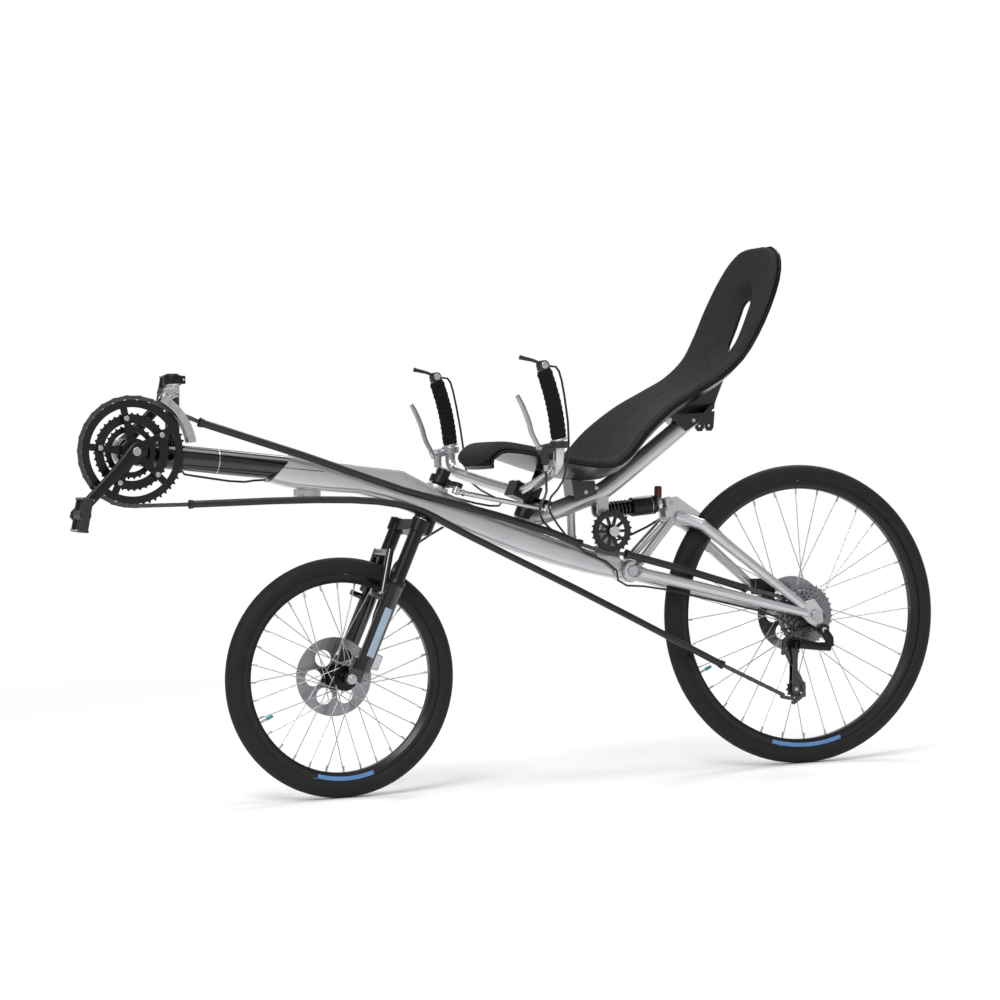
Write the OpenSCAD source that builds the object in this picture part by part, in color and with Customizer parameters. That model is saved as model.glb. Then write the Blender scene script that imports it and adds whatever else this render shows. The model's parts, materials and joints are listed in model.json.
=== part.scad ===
// Short-wheelbase recumbent bicycle with under-seat steering, full suspension and disc brakes.
// Millimetres. The front of the bicycle points along -X, the rider's right is +Y, up is +Z.
// Places are worked out from the ground point under the rear axle, then moved so that the
// origin is the place on the seat where the rider's hips rest.

/* [Wheels] */
// Outside radius of the rear tyre
rear_r = 318; // [290:1:350]
// Outside radius of the front tyre
front_r = 241.5; // [220:0.5:290]
// Width and height of both tyres' section
tyre_w = 40; // [32:1:48]
// Distance between the two axles
wheelbase = 1042; // [960:1:1260]
// Number of spokes in each wheel
spoke_count = 32; // [24:4:36]

/* [Frame] */
// Width of the box-section main beam
beam_w = 50; // [44:1:60]
// Diameter of the boom that carries the cranks
boom_d = 50; // [44:1:56]
// Forward reach from the crown race to the crank axis
crank_ahead = 626; // [560:1:760]
// Height of the crank axis above the crown race
crank_rise = 147; // [120:1:180]
// Diameter of the tube that carries the seat
seat_tube_d = 38; // [32:1:42]

/* [Front end] */
// Angle of the steering axis back from vertical
head_tilt = 25; // [22:1:28]
// Distance from the front axle up to the crown race, along the steering axis
fork_len = 372; // [362:1:400]
// Distance of the front axle ahead of the steering axis
rake = 44; // [36:1:50]
// Distance between the middles of the fork legs
leg_gap = 124; // [118:1:140]

/* [Steering] */
// Distance between the middles of the two grips
bar_w = 584; // [520:1:700]
// Diameter of the handlebar tube
bar_d = 22; // [20:1:24]
// Length of each grip
grip_len = 136; // [110:1:160]

/* [Drive] */
// Crank length from the crank axis to the pedal axle
crank_len = 170; // [150:5:175]
// Teeth on the outer chainring
ring_teeth = 52; // [46:1:56]
// Teeth on the chain idler
idler_teeth = 23; // [18:1:25]
// Outside diameter of the plastic chain tubes
tube_d = 15.5; // [14.5:0.5:17]

/* [Seat] */
// Half the width of the seat at the hips
hip_half_w = 172; // [150:1:190]
// Thickness of the seat pad
pad_t = 18; // [10:1:24]
// Thickness of the seat shell
shell_t = 6; // [4:0.5:8]

/* [Hidden] */
$fn = 48;

// Gap of a running fit, gap between pieces that rest on each other, and gap of moving pieces.
running = 0.05;
seated = 0.3;
// How much a weld stands proud where two round tubes meet.
joint_bead = 0.6;
LEFT = -1;
RIGHT = 1;

// ---- Layout: every point is [x, y, z] over the ground point under the rear axle ----
rear_axle_p = [0, 0, rear_r];
front_axle_p = [-wheelbase, 0, front_r];
axis_up = [sin(head_tilt), 0, cos(head_tilt)];
axis_back = [cos(head_tilt), 0, -sin(head_tilt)];
race = front_axle_p + rake * axis_back + fork_len * axis_up;
pivot = rear_axle_p + [-405, 0, 110];
hips = pivot + [-75, 0, 197];
bb = race + [-crank_ahead, 0, crank_rise];
boom_tail = race + [-224, 0, 96];
bar_pivot = hips + [-135, 0, -39];
rider = hips + [0, 0, pad_t + 2];

// Axes of the pieces on the steering: arm ends of the linkage between handlebar and fork.
arm_back = 20;
arm_side = -56;
fork_arm_at = race + 76 * axis_up;
bar_arm_at = bar_pivot - 1 * axis_up;
function arm_end(p) = p + arm_back * axis_back + [0, arm_side, 0];

// ---- Small helpers ----
function unit(v) = v / norm(v);
function mix(a, b, f) = a + (b - a) * f;
function last(v) = v[len(v) - 1];
function flip(v) = [for (i = [len(v) - 1 : -1 : 0]) v[i]];

// Rounds a path's corners; each pass cuts every corner to a shorter one.
function rounded(p, passes) = passes == 0 ? p : rounded(concat([p[0]],
    [for (i = [0 : len(p) - 2]) each [mix(p[i], p[i + 1], 0.25), mix(p[i], p[i + 1], 0.75)]],
    [last(p)]), passes - 1);

function tangent(p, i) = unit(p[min(i + 1, len(p) - 1)] - p[max(i - 1, 0)]);
function ring_at(c, t, side, r, n) = let (u = unit(cross(t, side)), w = cross(u, t))
    [for (k = [0 : n - 1]) c + r * (cos(360 * k / n) * u + sin(360 * k / n) * w)];

// Round bar along a path; side is a direction that the path never follows.
module swept(path, r, side = [0, 1, 0], n = 16) {
    m = len(path);
    points = [for (i = [0 : m - 1]) each ring_at(path[i], tangent(path, i), side, r, n)];
    walls = [for (i = [0 : m - 2]) for (k = [0 : n - 1])
        [i * n + k, i * n + (k + 1) % n, (i + 1) * n + (k + 1) % n, (i + 1) * n + k]];
    ends = [[for (k = [n - 1 : -1 : 0]) k], [for (k = [0 : n - 1]) (m - 1) * n + k]];
    polyhedron(points = points, faces = concat(walls, ends));
}

// Round pipe along a path, open at both ends.
module piped(path, r, bore, side = [0, 1, 0], n = 16) {
    m = len(path);
    outer = [for (i = [0 : m - 1]) each ring_at(path[i], tangent(path, i), side, r, n)];
    inner = [for (i = [0 : m - 1]) each ring_at(path[i], tangent(path, i), side, bore, n)];
    q = m * n;
    walls = [for (i = [0 : m - 2]) for (k = [0 : n - 1]) let (a = i * n + k,
        b = i * n + (k + 1) % n, c = b + n, d = a + n)
        each [[a, b, c, d], [q + d, q + c, q + b, q + a]]];
    ends = [for (k = [0 : n - 1]) let (a = k, b = (k + 1) % n, e = (m - 1) * n)
        each [[q + a, q + b, b, a], [e + a, e + b, q + e + b, q + e + a]]];
    polyhedron(points = concat(outer, inner), faces = concat(walls, ends));
}

// Straight round bar, or a cone, from a to b.
module bar(a, b, r, r2 = undef) {
    v = b - a;
    translate(a) rotate([0, acos(v[2] / norm(v)), atan2(v[1], v[0])])
        cylinder(h = norm(v), r1 = r, r2 = is_undef(r2) ? r : r2);
}

// Disc or tube along Y between two side positions.
module lateral(c, y0, y1, r, bore = 0) {
    translate([c[0], y0, c[2]]) rotate([-90, 0, 0]) difference() {
        cylinder(h = y1 - y0, r = r);
        if (bore > 0) translate([0, 0, -1]) cylinder(h = y1 - y0 + 2, r = bore);
    }
}

// Flat plate in the XZ plane between two side positions, from [x, z] points.
module plate(points, y0, y1) {
    translate([0, y1, 0]) rotate([90, 0, 0]) linear_extrude(y1 - y0) polygon(points);
}

module at_axis(p) {
    translate(p) rotate([0, head_tilt, 0]) children();
}

module mirrored_sides() {
    children();
    mirror([0, 1, 0]) children();
}

// Moves a piece from the ground frame into the part's own frame.
module placed() {
    translate(-rider) children();
}

// ---- Main frame ----
// Side outline of the beam ahead of the head tube: [ahead of race, bottom, top] above race.
nose_rows = [[341, 80, 80], [281, 63, 131], [150, 49, 110], [96, 33, 103], [55, 17, 96]];
// The rest, down to the swingarm pivot: [share of the way, height of the section].
tail_rows = [[0.41, 62], [0.68, 56], [0.92, 46], [1, 42]];
beam_sag = 16;
crest = race + [-55, 0, 56];
function tail_mid(f) = mix(crest, pivot, f) - [0, 0, 4 * beam_sag * f * (1 - f)];
beam_top = concat([for (r = nose_rows) race + [-r[0], 0, r[2]]],
    [for (r = tail_rows) tail_mid(r[0]) + [0, 0, r[1] / 2]]);
beam_bottom = concat([for (r = nose_rows) race + [-r[0], 0, r[1]]],
    [for (r = tail_rows) tail_mid(r[0]) - [0, 0, r[1] / 2]]);
head_len = 64;
head_r = 21;
crown_room = 60;
steerer_r = 14.3;
seat_tube_path = [hips + [-166, 0, -92], hips + [30, 0, -31], hips + [258, 0, 132]];
strut_x = hips[0] - 45;
shock_front = hips + [21, 0, -70];
shock_rear = rear_axle_p + [-304, 0, 248];
shock_bolt_r = 4;
idler_c = pivot + [-53, 0, 85];
chain_y = -54;

module main_frame() {
    color("silver") placed() difference() {
        union() {
            plate([for (p = concat(beam_top, flip(beam_bottom))) [p[0], p[2]]],
                -beam_w / 2, beam_w / 2);
            at_axis(race) cylinder(h = head_len, r = head_r);
            for (i = [0 : 1]) bar(seat_tube_path[i], seat_tube_path[i + 1], seat_tube_d / 2);
            translate(seat_tube_path[1]) sphere(r = seat_tube_d / 2 + joint_bead);
            bar([strut_x, 0, tail_mid(0.7)[2]], [strut_x, 0, seat_tube_path[0][2] + 35], 9);
            lateral(pivot, -beam_w / 2, beam_w / 2, 24);
            // Fork of two ears that holds the shock's front eye.
            mirrored_sides() plate([for (d = [[-14, 24], [-12, -8], [0, -13], [12, -8], [14, 30]])
                [shock_front[0] + d[0], shock_front[2] + d[1]]], 12, 17);
            // Upright that carries the idler's axle.
            plate([for (d = [[-24, -62], [-12, 10], [12, 10], [34, -70]])
                [idler_c[0] + d[0], idler_c[2] + d[1]]], -25, -15);
        }
        at_axis(race - 40 * axis_up) cylinder(h = head_len + 90, r = steerer_r + running);
        // Room below the head tube for the fork's crown to turn.
        at_axis(race - crown_room * axis_up) cylinder(h = crown_room - 0.5, r = 30);
        bar(boom_tail, bb, boom_d / 2 + running);
        lateral(pivot, -50, 50, 8 + running);
        lateral(shock_front, -30, 30, shock_bolt_r + running);
        lateral(idler_c, -40, 0, 6 + running);
    }
}

// ---- Boom ----
shell_half = 34;
spindle_r = 12;
module boom() {
    color("#151515") placed() difference() {
        union() {
            bar(boom_tail, bb, boom_d / 2);
            lateral(bb, -shell_half, shell_half, boom_d / 2 + 2);
        }
        bar(boom_tail - [10, 0, 0], mix(boom_tail, bb, 0.9), boom_d / 2 - 2);
        lateral(bb, -shell_half - 1, shell_half + 1, spindle_r + running);
    }
}

// ---- Derailleur post and front derailleur ----
post_foot = mix(bb, boom_tail, 0.24) + [0, 0, boom_d / 2 - 2];
post_top = post_foot + [4, 0, 138];
post_r = 14.3;
module derailleur_post() {
    color("#151515") placed() difference() {
        bar(post_foot, post_top, post_r);
        bar(boom_tail, bb, boom_d / 2 + seated);
    }
}

ring_r = ring_teeth * 12.7 / (2 * PI);
module front_derailleur() {
    link = mix(post_foot, post_top, 0.86);
    placed() difference() {
        union() {
            color("#202020") bar(link, post_top, post_r + 4);
            color("silver") {
                translate(link + [-26, -46, -34]) cube([44, 34, 40]);
                // Cage: inner and outer plate along the ring's edge, joined by a bridge.
                for (y = [-41, -67]) translate([bb[0], y, bb[2]]) rotate([90, 0, 0])
                    rotate([0, 0, 7]) rotate_extrude(angle = 55)
                        translate([ring_r + 6, 0]) square([14, 2]);
                translate([link[0] - 41, -69, link[2] - 31]) cube([18, 28, 12]);
            }
        }
        bar(post_foot, mix(post_foot, post_top, 1.2), post_r + seated);
    }
}

// ---- Seat ----
// Profile at the centreline: [x, z from the hips, half width, height of the raised edge].
seat_rows = [[-250, 24, 70, -4], [-254, 44, 80, -4], [-241, 58, 88, -3], [-219, 62, 96, 0],
    [-170, 47, 122, 6], [-110, 23, 150, 13], [-50, 4, 167, 21], [0, 0, 172, 30],
    [45, 20, 172, 38], [90, 65, 164, 38], [145, 110, 150, 34], [200, 143, 140, 30],
    [258, 175, 138, 28], [310, 220, 142, 26], [345, 275, 148, 24], [372, 335, 150, 20],
    [395, 395, 138, 14], [408, 438, 112, 8], [416, 464, 74, 3], [420, 474, 36, 0]];
seat_steps = 2;
function row(i) = seat_rows[max(0, min(len(seat_rows) - 1, i))];
function curve(a, b, c, d, f) = 0.5 * (2 * b + (c - a) * f + (2 * a - 5 * b + 4 * c - d) * f * f
    + (3 * b - a - 3 * c + d) * f * f * f);
seat_line = concat([for (i = [0 : len(seat_rows) - 2]) for (s = [0 : seat_steps - 1])
    curve(row(i - 1), row(i), row(i + 1), row(i + 2), s / seat_steps)], [last(seat_rows)]);
across = [for (k = [-6 : 6]) k / 6];
function line_at(i) = let (p = seat_line[i]) hips + [p[0], 0, p[1]];
function seat_up(i) = let (a = line_at(max(i - 1, 0)), b = line_at(min(i + 1, len(seat_line) - 1)),
    t = unit(b - a)) [-t[2], 0, t[0]];
// A point of the seat: station i, share u across, height h over the shell's upper face.
function seat_point(i, u, h, trim) = let (p = seat_line[i], w = p[2] * hip_half_w / 172,
    y = (w - trim) * u) line_at(i) + [0, y, 0] + (h + p[3] * y * y / (w * w)) * seat_up(i);

module seat_sheet(low, high, trim, first, final) {
    n = len(across);
    count = final - first + 1;
    upper = [for (i = [first : final]) for (u = across) seat_point(i, u, high, trim)];
    lower = [for (i = [first : final]) for (u = across) seat_point(i, u, low, trim)];
    q = count * n;
    skin = [for (i = [0 : count - 2]) for (k = [0 : n - 2]) let (a = i * n + k, b = a + 1,
        c = b + n, d = a + n) each [[a, b, c], [a, c, d], [q + c, q + b, q + a], [q + d, q + c, q + a]]];
    sides = [for (i = [0 : count - 2]) let (a = i * n, d = a + n, e = a + n - 1, f = e + n)
        each [[a, d, q + d, q + a], [e, q + e, q + f, f]]];
    ends = [for (k = [0 : n - 2]) let (a = k, e = (count - 1) * n + k)
        each [[a, q + a, q + a + 1, a + 1], [e + 1, q + e + 1, q + e, e]]];
    polyhedron(points = concat(upper, lower), faces = concat(skin, sides, ends), convexity = 6);
}

// Long hole in the headrest, cut square to the backrest.
hole_mid = hips + [352, 0, 312];
hole_len = 118;
module head_hole(w) {
    translate(hole_mid) rotate([0, -72, 0]) {
        translate([0, 0, -60]) for (s = [-1, 1])
            translate([s * (hole_len - w) / 2, 0, 0]) cylinder(h = 120, r = w / 2);
        cube([hole_len - w, w, 120], center = true);
    }
}

module seat_shell() {
    color("#141414") placed() difference() {
        seat_sheet(-shell_t, 0, 0, 0, len(seat_line) - 1);
        head_hole(44);
    }
}

module seat_pad() {
    color("#3a3a3c") placed() difference() {
        seat_sheet(2 * seated, pad_t, 6, 1, len(seat_line) - 2);
        head_hole(40);
    }
}

// Points under the shell's middle, from one station to another, for what carries the seat.
function under_shell(i0, i1) = [for (i = [i0 : i1]) let (p = seat_point(i, 0, -shell_t - seated, 0))
    [p[0], p[2]]];
function near_hips(points) = [for (p = points) [hips[0] + p[0], hips[2] + p[1]]];
rack_eye = hips + [268, 0, 100];
rack_bore = 2.6;
ear_y = 20;
ear_t = 5;
module seat_brackets() {
    color("#1a1a1a") placed() {
        difference() {
            plate(concat(under_shell(12, 14), near_hips([[6, -34], [-46, -50]])), -24, 24);
            bar(seat_tube_path[0], seat_tube_path[1], seat_tube_d / 2 + seated);
        }
        difference() {
            union() {
                plate(concat(under_shell(21, 26), near_hips([[272, 122], [214, 90]])), -24, 24);
                plate(near_hips([[224, 126], [236, 140], [250, 146], [248, 134]]), -92, 92);
                // Two ears hanging from it, drilled for a rack's bolts.
                mirrored_sides() plate([for (d = [[-12, 30], [14, 30], [10, -4], [5, -11], [-5, -11],
                    [-10, -4]]) [rack_eye[0] + d[0], rack_eye[2] + d[1]]], ear_y, ear_y + ear_t);
            }
            bar(seat_tube_path[1], seat_tube_path[2] + [0, 0, 0.01], seat_tube_d / 2 + seated);
            lateral(rack_eye, -60, 60, rack_bore);
        }
    }
}

main_frame();
boom();
derailleur_post();
front_derailleur();
seat_shell();
seat_pad();
seat_brackets();

// ---- Handlebar post, fixed to the beam ----
post_len = 59.6;
bar_post_r = 12;
module handlebar_post() {
    color("#111111") placed() difference() {
        union() {
            at_axis(bar_pivot - 44 * axis_up) cylinder(h = post_len + 44, r = bar_post_r);
            at_axis(bar_pivot - 44 * axis_up) cylinder(h = 20, r = 20);
        }
        plate([for (p = concat(beam_top, flip(beam_bottom))) [p[0], p[2] + seated]], -60, 60);
        bar(seat_tube_path[0], seat_tube_path[1], seat_tube_d / 2 + seated);
    }
}

// ---- Swingarm and rear suspension ----
drop_y = 67.5;
axle_r = 6;
stay_foot = rear_axle_p + [-20, 0, 4];
brace = rear_axle_p + [-304, 0, 212];
seatstay = [brace + [60, 40, -12], stay_foot + [-8, drop_y + 4, 16]];
module swingarm() {
    cheek = [for (d = [[-8, -10], [-13, 44], [13, 49], [66, 12], [44, -14]])
        [brace[0] + d[0], brace[2] + d[1]]];
    color("silver") placed() difference() {
        union() {
            mirrored_sides() {
                // Ear on the pivot, chainstay, strut, seatstay and dropout plate.
                lateral(pivot, 27, 40, 20);
                bar(pivot + [0, 42, 0], stay_foot + [0, drop_y + 4, 0], 13, 9);
                bar(pivot + [6, 36, 6], brace + [0, 20, 0], 9);
                bar(brace + [12, 20, 8], seatstay[0], 12);
                translate(seatstay[0]) sphere(r = 12 + joint_bead);
                bar(seatstay[0], seatstay[1], 12, 9);
                plate([for (d = [[-34, 0], [-26, 30], [-4, 34], [16, 8], [16, -14], [0, -26],
                    [-18, -16]]) [d[0], rear_r + d[1]]], drop_y, drop_y + 7);
                plate(cheek, 13, 22);
            }
            lateral(brace, -22, 22, 11);
        }
        lateral(pivot, -60, 60, 8 + running);
        mirrored_sides() lateral(pivot, 40.3, 60, 12.3);
        lateral(shock_rear, -30, 30, shock_bolt_r + running);
        lateral(rear_axle_p, -90, 90, axle_r + running);
    }
}

// Bolts through the swingarm's pivot and the shock's two eyes.
module suspension_bolts() {
    color("#8f9296") placed() {
        lateral(pivot, -43, 43, 8);
        for (s = [LEFT, RIGHT]) lateral(pivot, s * 42.5 - 2, s * 42.5 + 2, 12);
        for (c = [shock_front, shock_rear]) lateral(c, -24, 24, shock_bolt_r);
    }
}

shock_dir = unit(shock_rear - shock_front);
module shock_absorber() {
    placed() difference() {
        union() {
            color("#181818") {
                lateral(shock_front, -11.7, 11.7, 9);
                lateral(shock_rear, -11.7, 11.7, 9);
                bar(shock_front, shock_front + 76 * shock_dir, 12);
                bar(shock_front + 70 * shock_dir, shock_rear - 30 * shock_dir, 20);
                bar(shock_rear - 31 * shock_dir, shock_rear - 13 * shock_dir, 17);
                bar(shock_rear - 14 * shock_dir, shock_rear - 3 * shock_dir, 9);
            }
            color("#6b2f2a") bar(shock_rear + [-22, 0, 8], shock_rear + [-20, 0, 36], 8);
        }
        lateral(shock_front, -30, 30, shock_bolt_r + running);
        lateral(shock_rear, -30, 30, shock_bolt_r + running);
    }
}

// ---- Rear axle and its fixed parts ----
module rear_axle() {
    color("#8f9296") placed() {
        lateral(rear_axle_p, -drop_y - 12, drop_y + 12, axle_r);
        for (s = [LEFT, RIGHT]) lateral(rear_axle_p, s * (drop_y + 11) - 3.7, s * (drop_y + 11) + 3.7, 12);
    }
}

disc_r = 80;
disc_y = 40;
// Brake caliper whose slot the rotor's edge runs through; c is its middle in the wheel's plane.
module caliper(c) {
    difference() {
        translate(c + [-22, disc_y - 14, -16]) cube([44, 27.5, 32]);
        translate(c + [-60, disc_y - 3, -40]) cube([120, 6, 52]);
    }
}

module rear_caliper() {
    c = rear_axle_p + [-66, 0, 62];
    color("#1b1b1b") placed() difference() {
        union() {
            caliper(c);
            translate(c + [-14, disc_y + 10, -18]) cube([28, 18, 30]);
        }
        bar(seatstay[0], seatstay[1], 12 + seated, 9 + seated);
    }
}

module idler_axle() {
    color("silver") placed() {
        lateral(idler_c, chain_y - 14, -15, 6);
        lateral(idler_c, chain_y - 17, chain_y - 10, 11);
        lateral(idler_c, chain_y + 10, -25.3, 10);
    }
}

// ---- Chain ----
link_h = 8;
link_w = 6.6;
idler_r = idler_teeth * 12.7 / (2 * PI);
cog_r = 11 * 12.7 / (2 * PI);
jockey_r = 22;
cog_c = rear_axle_p;
jockey_top = rear_axle_p + [-46, 0, -62];
jockey_low = rear_axle_p + [-47, 0, -155];

// Points on a circle round c in the XZ plane, from angle a to angle b.
function arc(c, r, a, b, n) = [for (i = [0 : n]) let (g = mix(a, b, i / n))
    [c[0] + r * cos(g), chain_y, c[2] + r * sin(g)]];
function angle_to(c, p) = atan2(p[2] - c[2], p[0] - c[0]);
// Angle where a line from p touches the circle; hand picks one of the two.
function touch(c, r, p, hand) = angle_to(c, p) + hand * acos(r / norm([p[0] - c[0], p[2] - c[2]]));

// Front chain tube: from ahead of the ring's top to just ahead of the idler.
drive_a = bb + [137, 0, 54];
drive_b = idler_c + [-71, 0, -24];
drive_front = [for (f = [[0, 0], [0.26, 0], [0.52, -5], [0.78, 4], [0.92, 5], [1, 0]])
    let (p = mix(drive_a, drive_b, f[0])) [p[0], chain_y, p[2] + f[1]]];
drive_c = idler_c + [30, 0, -48];
drive_d = rear_axle_p + [-154, 0, 63];
drive_rear = [for (f = [[0, 0], [0.5, 2], [1, 0]])
    let (p = mix(drive_c, drive_d, f[0])) [p[0], chain_y, p[2] + f[1]]];
// Lower tube: from the ring's foot, level to the fork, then down to the derailleur.
bend = race + [0, 0, 1];
return_a = bb + [111, 0, -106];
return_d = rear_axle_p + [-214, 0, -95];
return_line = [return_a, mix(return_a, bend, 0.45) + [0, 0, 19], mix(return_a, bend, 0.72) + [0, 0, 24],
    bend + [-62, 0, 21], bend + [-15, 0, 3], bend + [45, 0, -32], mix(bend, return_d, 0.22) + [0, 0, -6],
    mix(bend, return_d, 0.55) + [0, 0, 0], return_d];
return_path = [for (p = rounded(return_line, 1)) [p[0], chain_y, p[2]]];

ring_in = touch(bb, ring_r, return_path[0], -1);
ring_out = touch(bb, ring_r, drive_front[0], 1);
idler_in = touch(idler_c, idler_r, last(drive_front), 1);
idler_out = touch(idler_c, idler_r, drive_rear[0], -1);
cog_in = touch(cog_c, cog_r, last(drive_rear), -1);
// Angle where the chain crosses over between the two jockey wheels.
crossing = 90 - acos(2 * jockey_r / norm(jockey_top - jockey_low));
chain_path = concat(
    arc(bb, ring_r, ring_in + 360, ring_out, 40), drive_front,
    arc(idler_c, idler_r, idler_in, idler_out, 4), drive_rear,
    arc(cog_c, cog_r, cog_in, -80, 10),
    arc(jockey_top, jockey_r, 108, 180 + crossing, 8),
    arc(jockey_low, jockey_r, crossing, -116, 10),
    flip(return_path));

module ribbon(path, half) {
    n = len(path);
    sides = [for (i = [0 : n - 1]) let (t = unit(path[(i + 1) % n] - path[(i + n - 1) % n]))
        [-t[2], t[0]]];
    difference() {
        polygon([for (i = [0 : n - 1]) [path[i][0], path[i][2]] + half * sides[i]]);
        polygon([for (i = [0 : n - 1]) [path[i][0], path[i][2]] - half * sides[i]]);
    }
}

module chain() {
    color("#77797c") placed() translate([0, chain_y + link_w / 2, 0]) rotate([90, 0, 0])
        linear_extrude(link_w) ribbon(chain_path, link_h / 2);
}

module drive_tube_front() {
    color("#2a2a2a") placed() piped(drive_front, tube_d / 2, tube_d / 2 - 1.7);
}

module drive_tube_rear() {
    color("#2a2a2a") placed() piped(drive_rear, tube_d / 2, tube_d / 2 - 1.7);
}

module return_tube() {
    color("#2a2a2a") placed() piped(return_path, tube_d / 2 - 0.7, tube_d / 2 - 2.4);
}

module rear_derailleur() {
    placed() {
        color("#1a1a1a") {
            hang = rear_axle_p + [12, -drop_y - 8, -32];
            bar(hang + [0, -10, 0], hang + [0, 1, 0], 13);
            bar(hang + [0, -6, 0], hang + [14, -8, -36], 9);
            bar(hang + [14, -8, -36], [jockey_top[0], -drop_y - 12, jockey_top[2] + 4], 10);
            // Cage plates each side of the two jockey wheels.
            for (y = [chain_y - 8, chain_y + 6]) hull() {
                translate([jockey_top[0], y, jockey_top[2]]) rotate([-90, 0, 0])
                    cylinder(h = 2, r = 11);
                translate([jockey_low[0], y, jockey_low[2]]) rotate([-90, 0, 0])
                    cylinder(h = 2, r = 11);
            }
            for (c = [jockey_top, jockey_low]) {
                lateral(c, chain_y - 6, chain_y + 6, 4);
                lateral(c, chain_y - 3, chain_y + 3, jockey_r - link_h / 2 - 0.4);
            }
            bar([jockey_top[0], -drop_y - 12, jockey_top[2]], [jockey_top[0], chain_y - 6,
                jockey_top[2]], 8);
        }
    }
}

// ---- Fork ----
leg_x = -29;
leg_y = leg_gap / 2;
lower_top = -165;
module fork_crown() {
    color("#101010") placed() at_axis(race) difference() {
        union() {
            translate([0, 0, -30]) cylinder(h = head_len + 66, r = steerer_r);
            translate([0, 0, -1]) mirror([0, 0, 1]) cylinder(h = 34, r = 23);
            mirrored_sides() {
                translate([leg_x, leg_y, -48]) cylinder(h = 26, r = 18);
                translate([leg_x, leg_y, -230]) cylinder(h = 200, r = 14);
            }
            translate([leg_x - 8, -leg_y, -46]) cube([36, 2 * leg_y, 23]);
        }
        translate([0, 0, -32]) cylinder(h = head_len + 110, r = 11);
    }
}

module fork_lowers() {
    arch = [[leg_x - 18, leg_y - 4, lower_top - 22], [leg_x - 28, leg_y - 24, -106]];
    color("#101010") placed() at_axis(race) difference() {
        union() {
            mirrored_sides() {
                translate([leg_x, leg_y, -fork_len + 22])
                    cylinder(h = fork_len - 22 + lower_top, r = 17);
                // Dropout, brake stud and half of the arch over the tyre.
                translate([-rake, leg_y - 11, -fork_len]) rotate([-90, 0, 0]) cylinder(h = 9, r = 12);
                translate([-rake - 8, leg_y - 11, -fork_len]) cube([leg_x + rake + 16, 9, 44]);
                translate([leg_x - 8, leg_y, -198]) rotate([0, -90, 0]) cylinder(h = 32, r = 6);
                bar(arch[0], mix(arch[0], arch[1], 1.08), 8);
            }
            bar(arch[1] - [0, 2 * arch[1][1] + 3, 0], arch[1] + [0, 3, 0], 7.6);
            // Lug behind the right leg that the brake caliper is bolted to.
            translate([leg_x, disc_y + 7, -fork_len + 44])
                cube([57 - 22 - rake - leg_x - seated, 12, 32]);
        }
        for (s = [LEFT, RIGHT]) translate([leg_x, s * leg_y, -262])
            cylinder(h = 262 + lower_top + 1, r = 14 + running);
        translate([-rake, 0, -fork_len]) rotate([90, 0, 0])
            cylinder(h = 300, r = axle_r - 1 + running, center = true);
    }
}

module steering_arm() {
    color("#181818") placed() difference() {
        union() {
            at_axis(race + 69 * axis_up) cylinder(h = 15, r = 22);
            hull() {
                at_axis(fork_arm_at - 6 * axis_up + 8 * axis_back) cylinder(h = 9, r = 12, $fn = 32);
                at_axis(arm_end(fork_arm_at) - 6 * axis_up) cylinder(h = 9, r = 9, $fn = 32);
            }
        }
        at_axis(race) cylinder(h = 160, r = steerer_r + running);
        at_axis(arm_end(fork_arm_at) - 30 * axis_up) cylinder(h = 60, r = 4 + running);
    }
}

front_hub_half = leg_y - 11 - 1;
module front_axle() {
    color("#8f9296") placed() {
        lateral(front_axle_p, -leg_y - 12, leg_y + 12, axle_r - 1);
        for (s = [LEFT, RIGHT]) lateral(front_axle_p, s * (leg_y + 4) - 5.7, s * (leg_y + 4) + 5.7, 10);
    }
}

module front_caliper() {
    color("#c8cacd") placed() translate(front_axle_p) rotate([0, head_tilt, 0])
        caliper([57, 0, 60]);
}

// ---- Handlebar ----
stem_low = -8;
stem_top = 28;
bar_mid = bar_pivot + 4 * axis_up - 32 * axis_back;
grip_foot = [bar_pivot[0] - 58, bar_w / 2, bar_pivot[2] + 118];
grip_top = grip_foot + [-27, 0, grip_len];
bar_line = [bar_mid, bar_mid + [0, 60, 4], [bar_pivot[0] - 52, 0.82 * bar_w / 2, bar_pivot[2] + 52],
    [bar_pivot[0] - 60, bar_w / 2, bar_pivot[2] + 66], grip_foot,
    mix(grip_foot, grip_top, 0.6) + [5, 0, 0], grip_top];
half_bar = rounded(bar_line, 2);
function at_side(p, s) = [for (q = p) [q[0], s * q[1], q[2]]];

module handlebar_stem() {
    color("#161616") placed() difference() {
        union() {
            at_axis(bar_pivot + stem_low * axis_up) cylinder(h = stem_top - stem_low, r = 17);
            translate(bar_mid) rotate([0, head_tilt, 0]) translate([-16, -24, -16]) cube([36, 48, 32]);
            hull() {
                at_axis(bar_arm_at - 6 * axis_up + 8 * axis_back) cylinder(h = 9, r = 8, $fn = 32);
                at_axis(arm_end(bar_arm_at) - 6 * axis_up) cylinder(h = 9, r = 9, $fn = 32);
            }
        }
        at_axis(bar_pivot - 100 * axis_up) cylinder(h = 200, r = bar_post_r + running);
        for (s = [LEFT, RIGHT]) bar(bar_mid + [0, -s * 15, -1], bar_mid + [0, s * 60, 4], bar_d / 2 + seated);
        at_axis(arm_end(bar_arm_at) - 30 * axis_up) cylinder(h = 60, r = 4 + running);
    }
}

module handlebar() {
    path = concat(flip(at_side(half_bar, LEFT)), [for (i = [1 : len(half_bar) - 1]) half_bar[i]]);
    color("silver") placed() swept(path, bar_d / 2, [1, 0, 0]);
}

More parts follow.
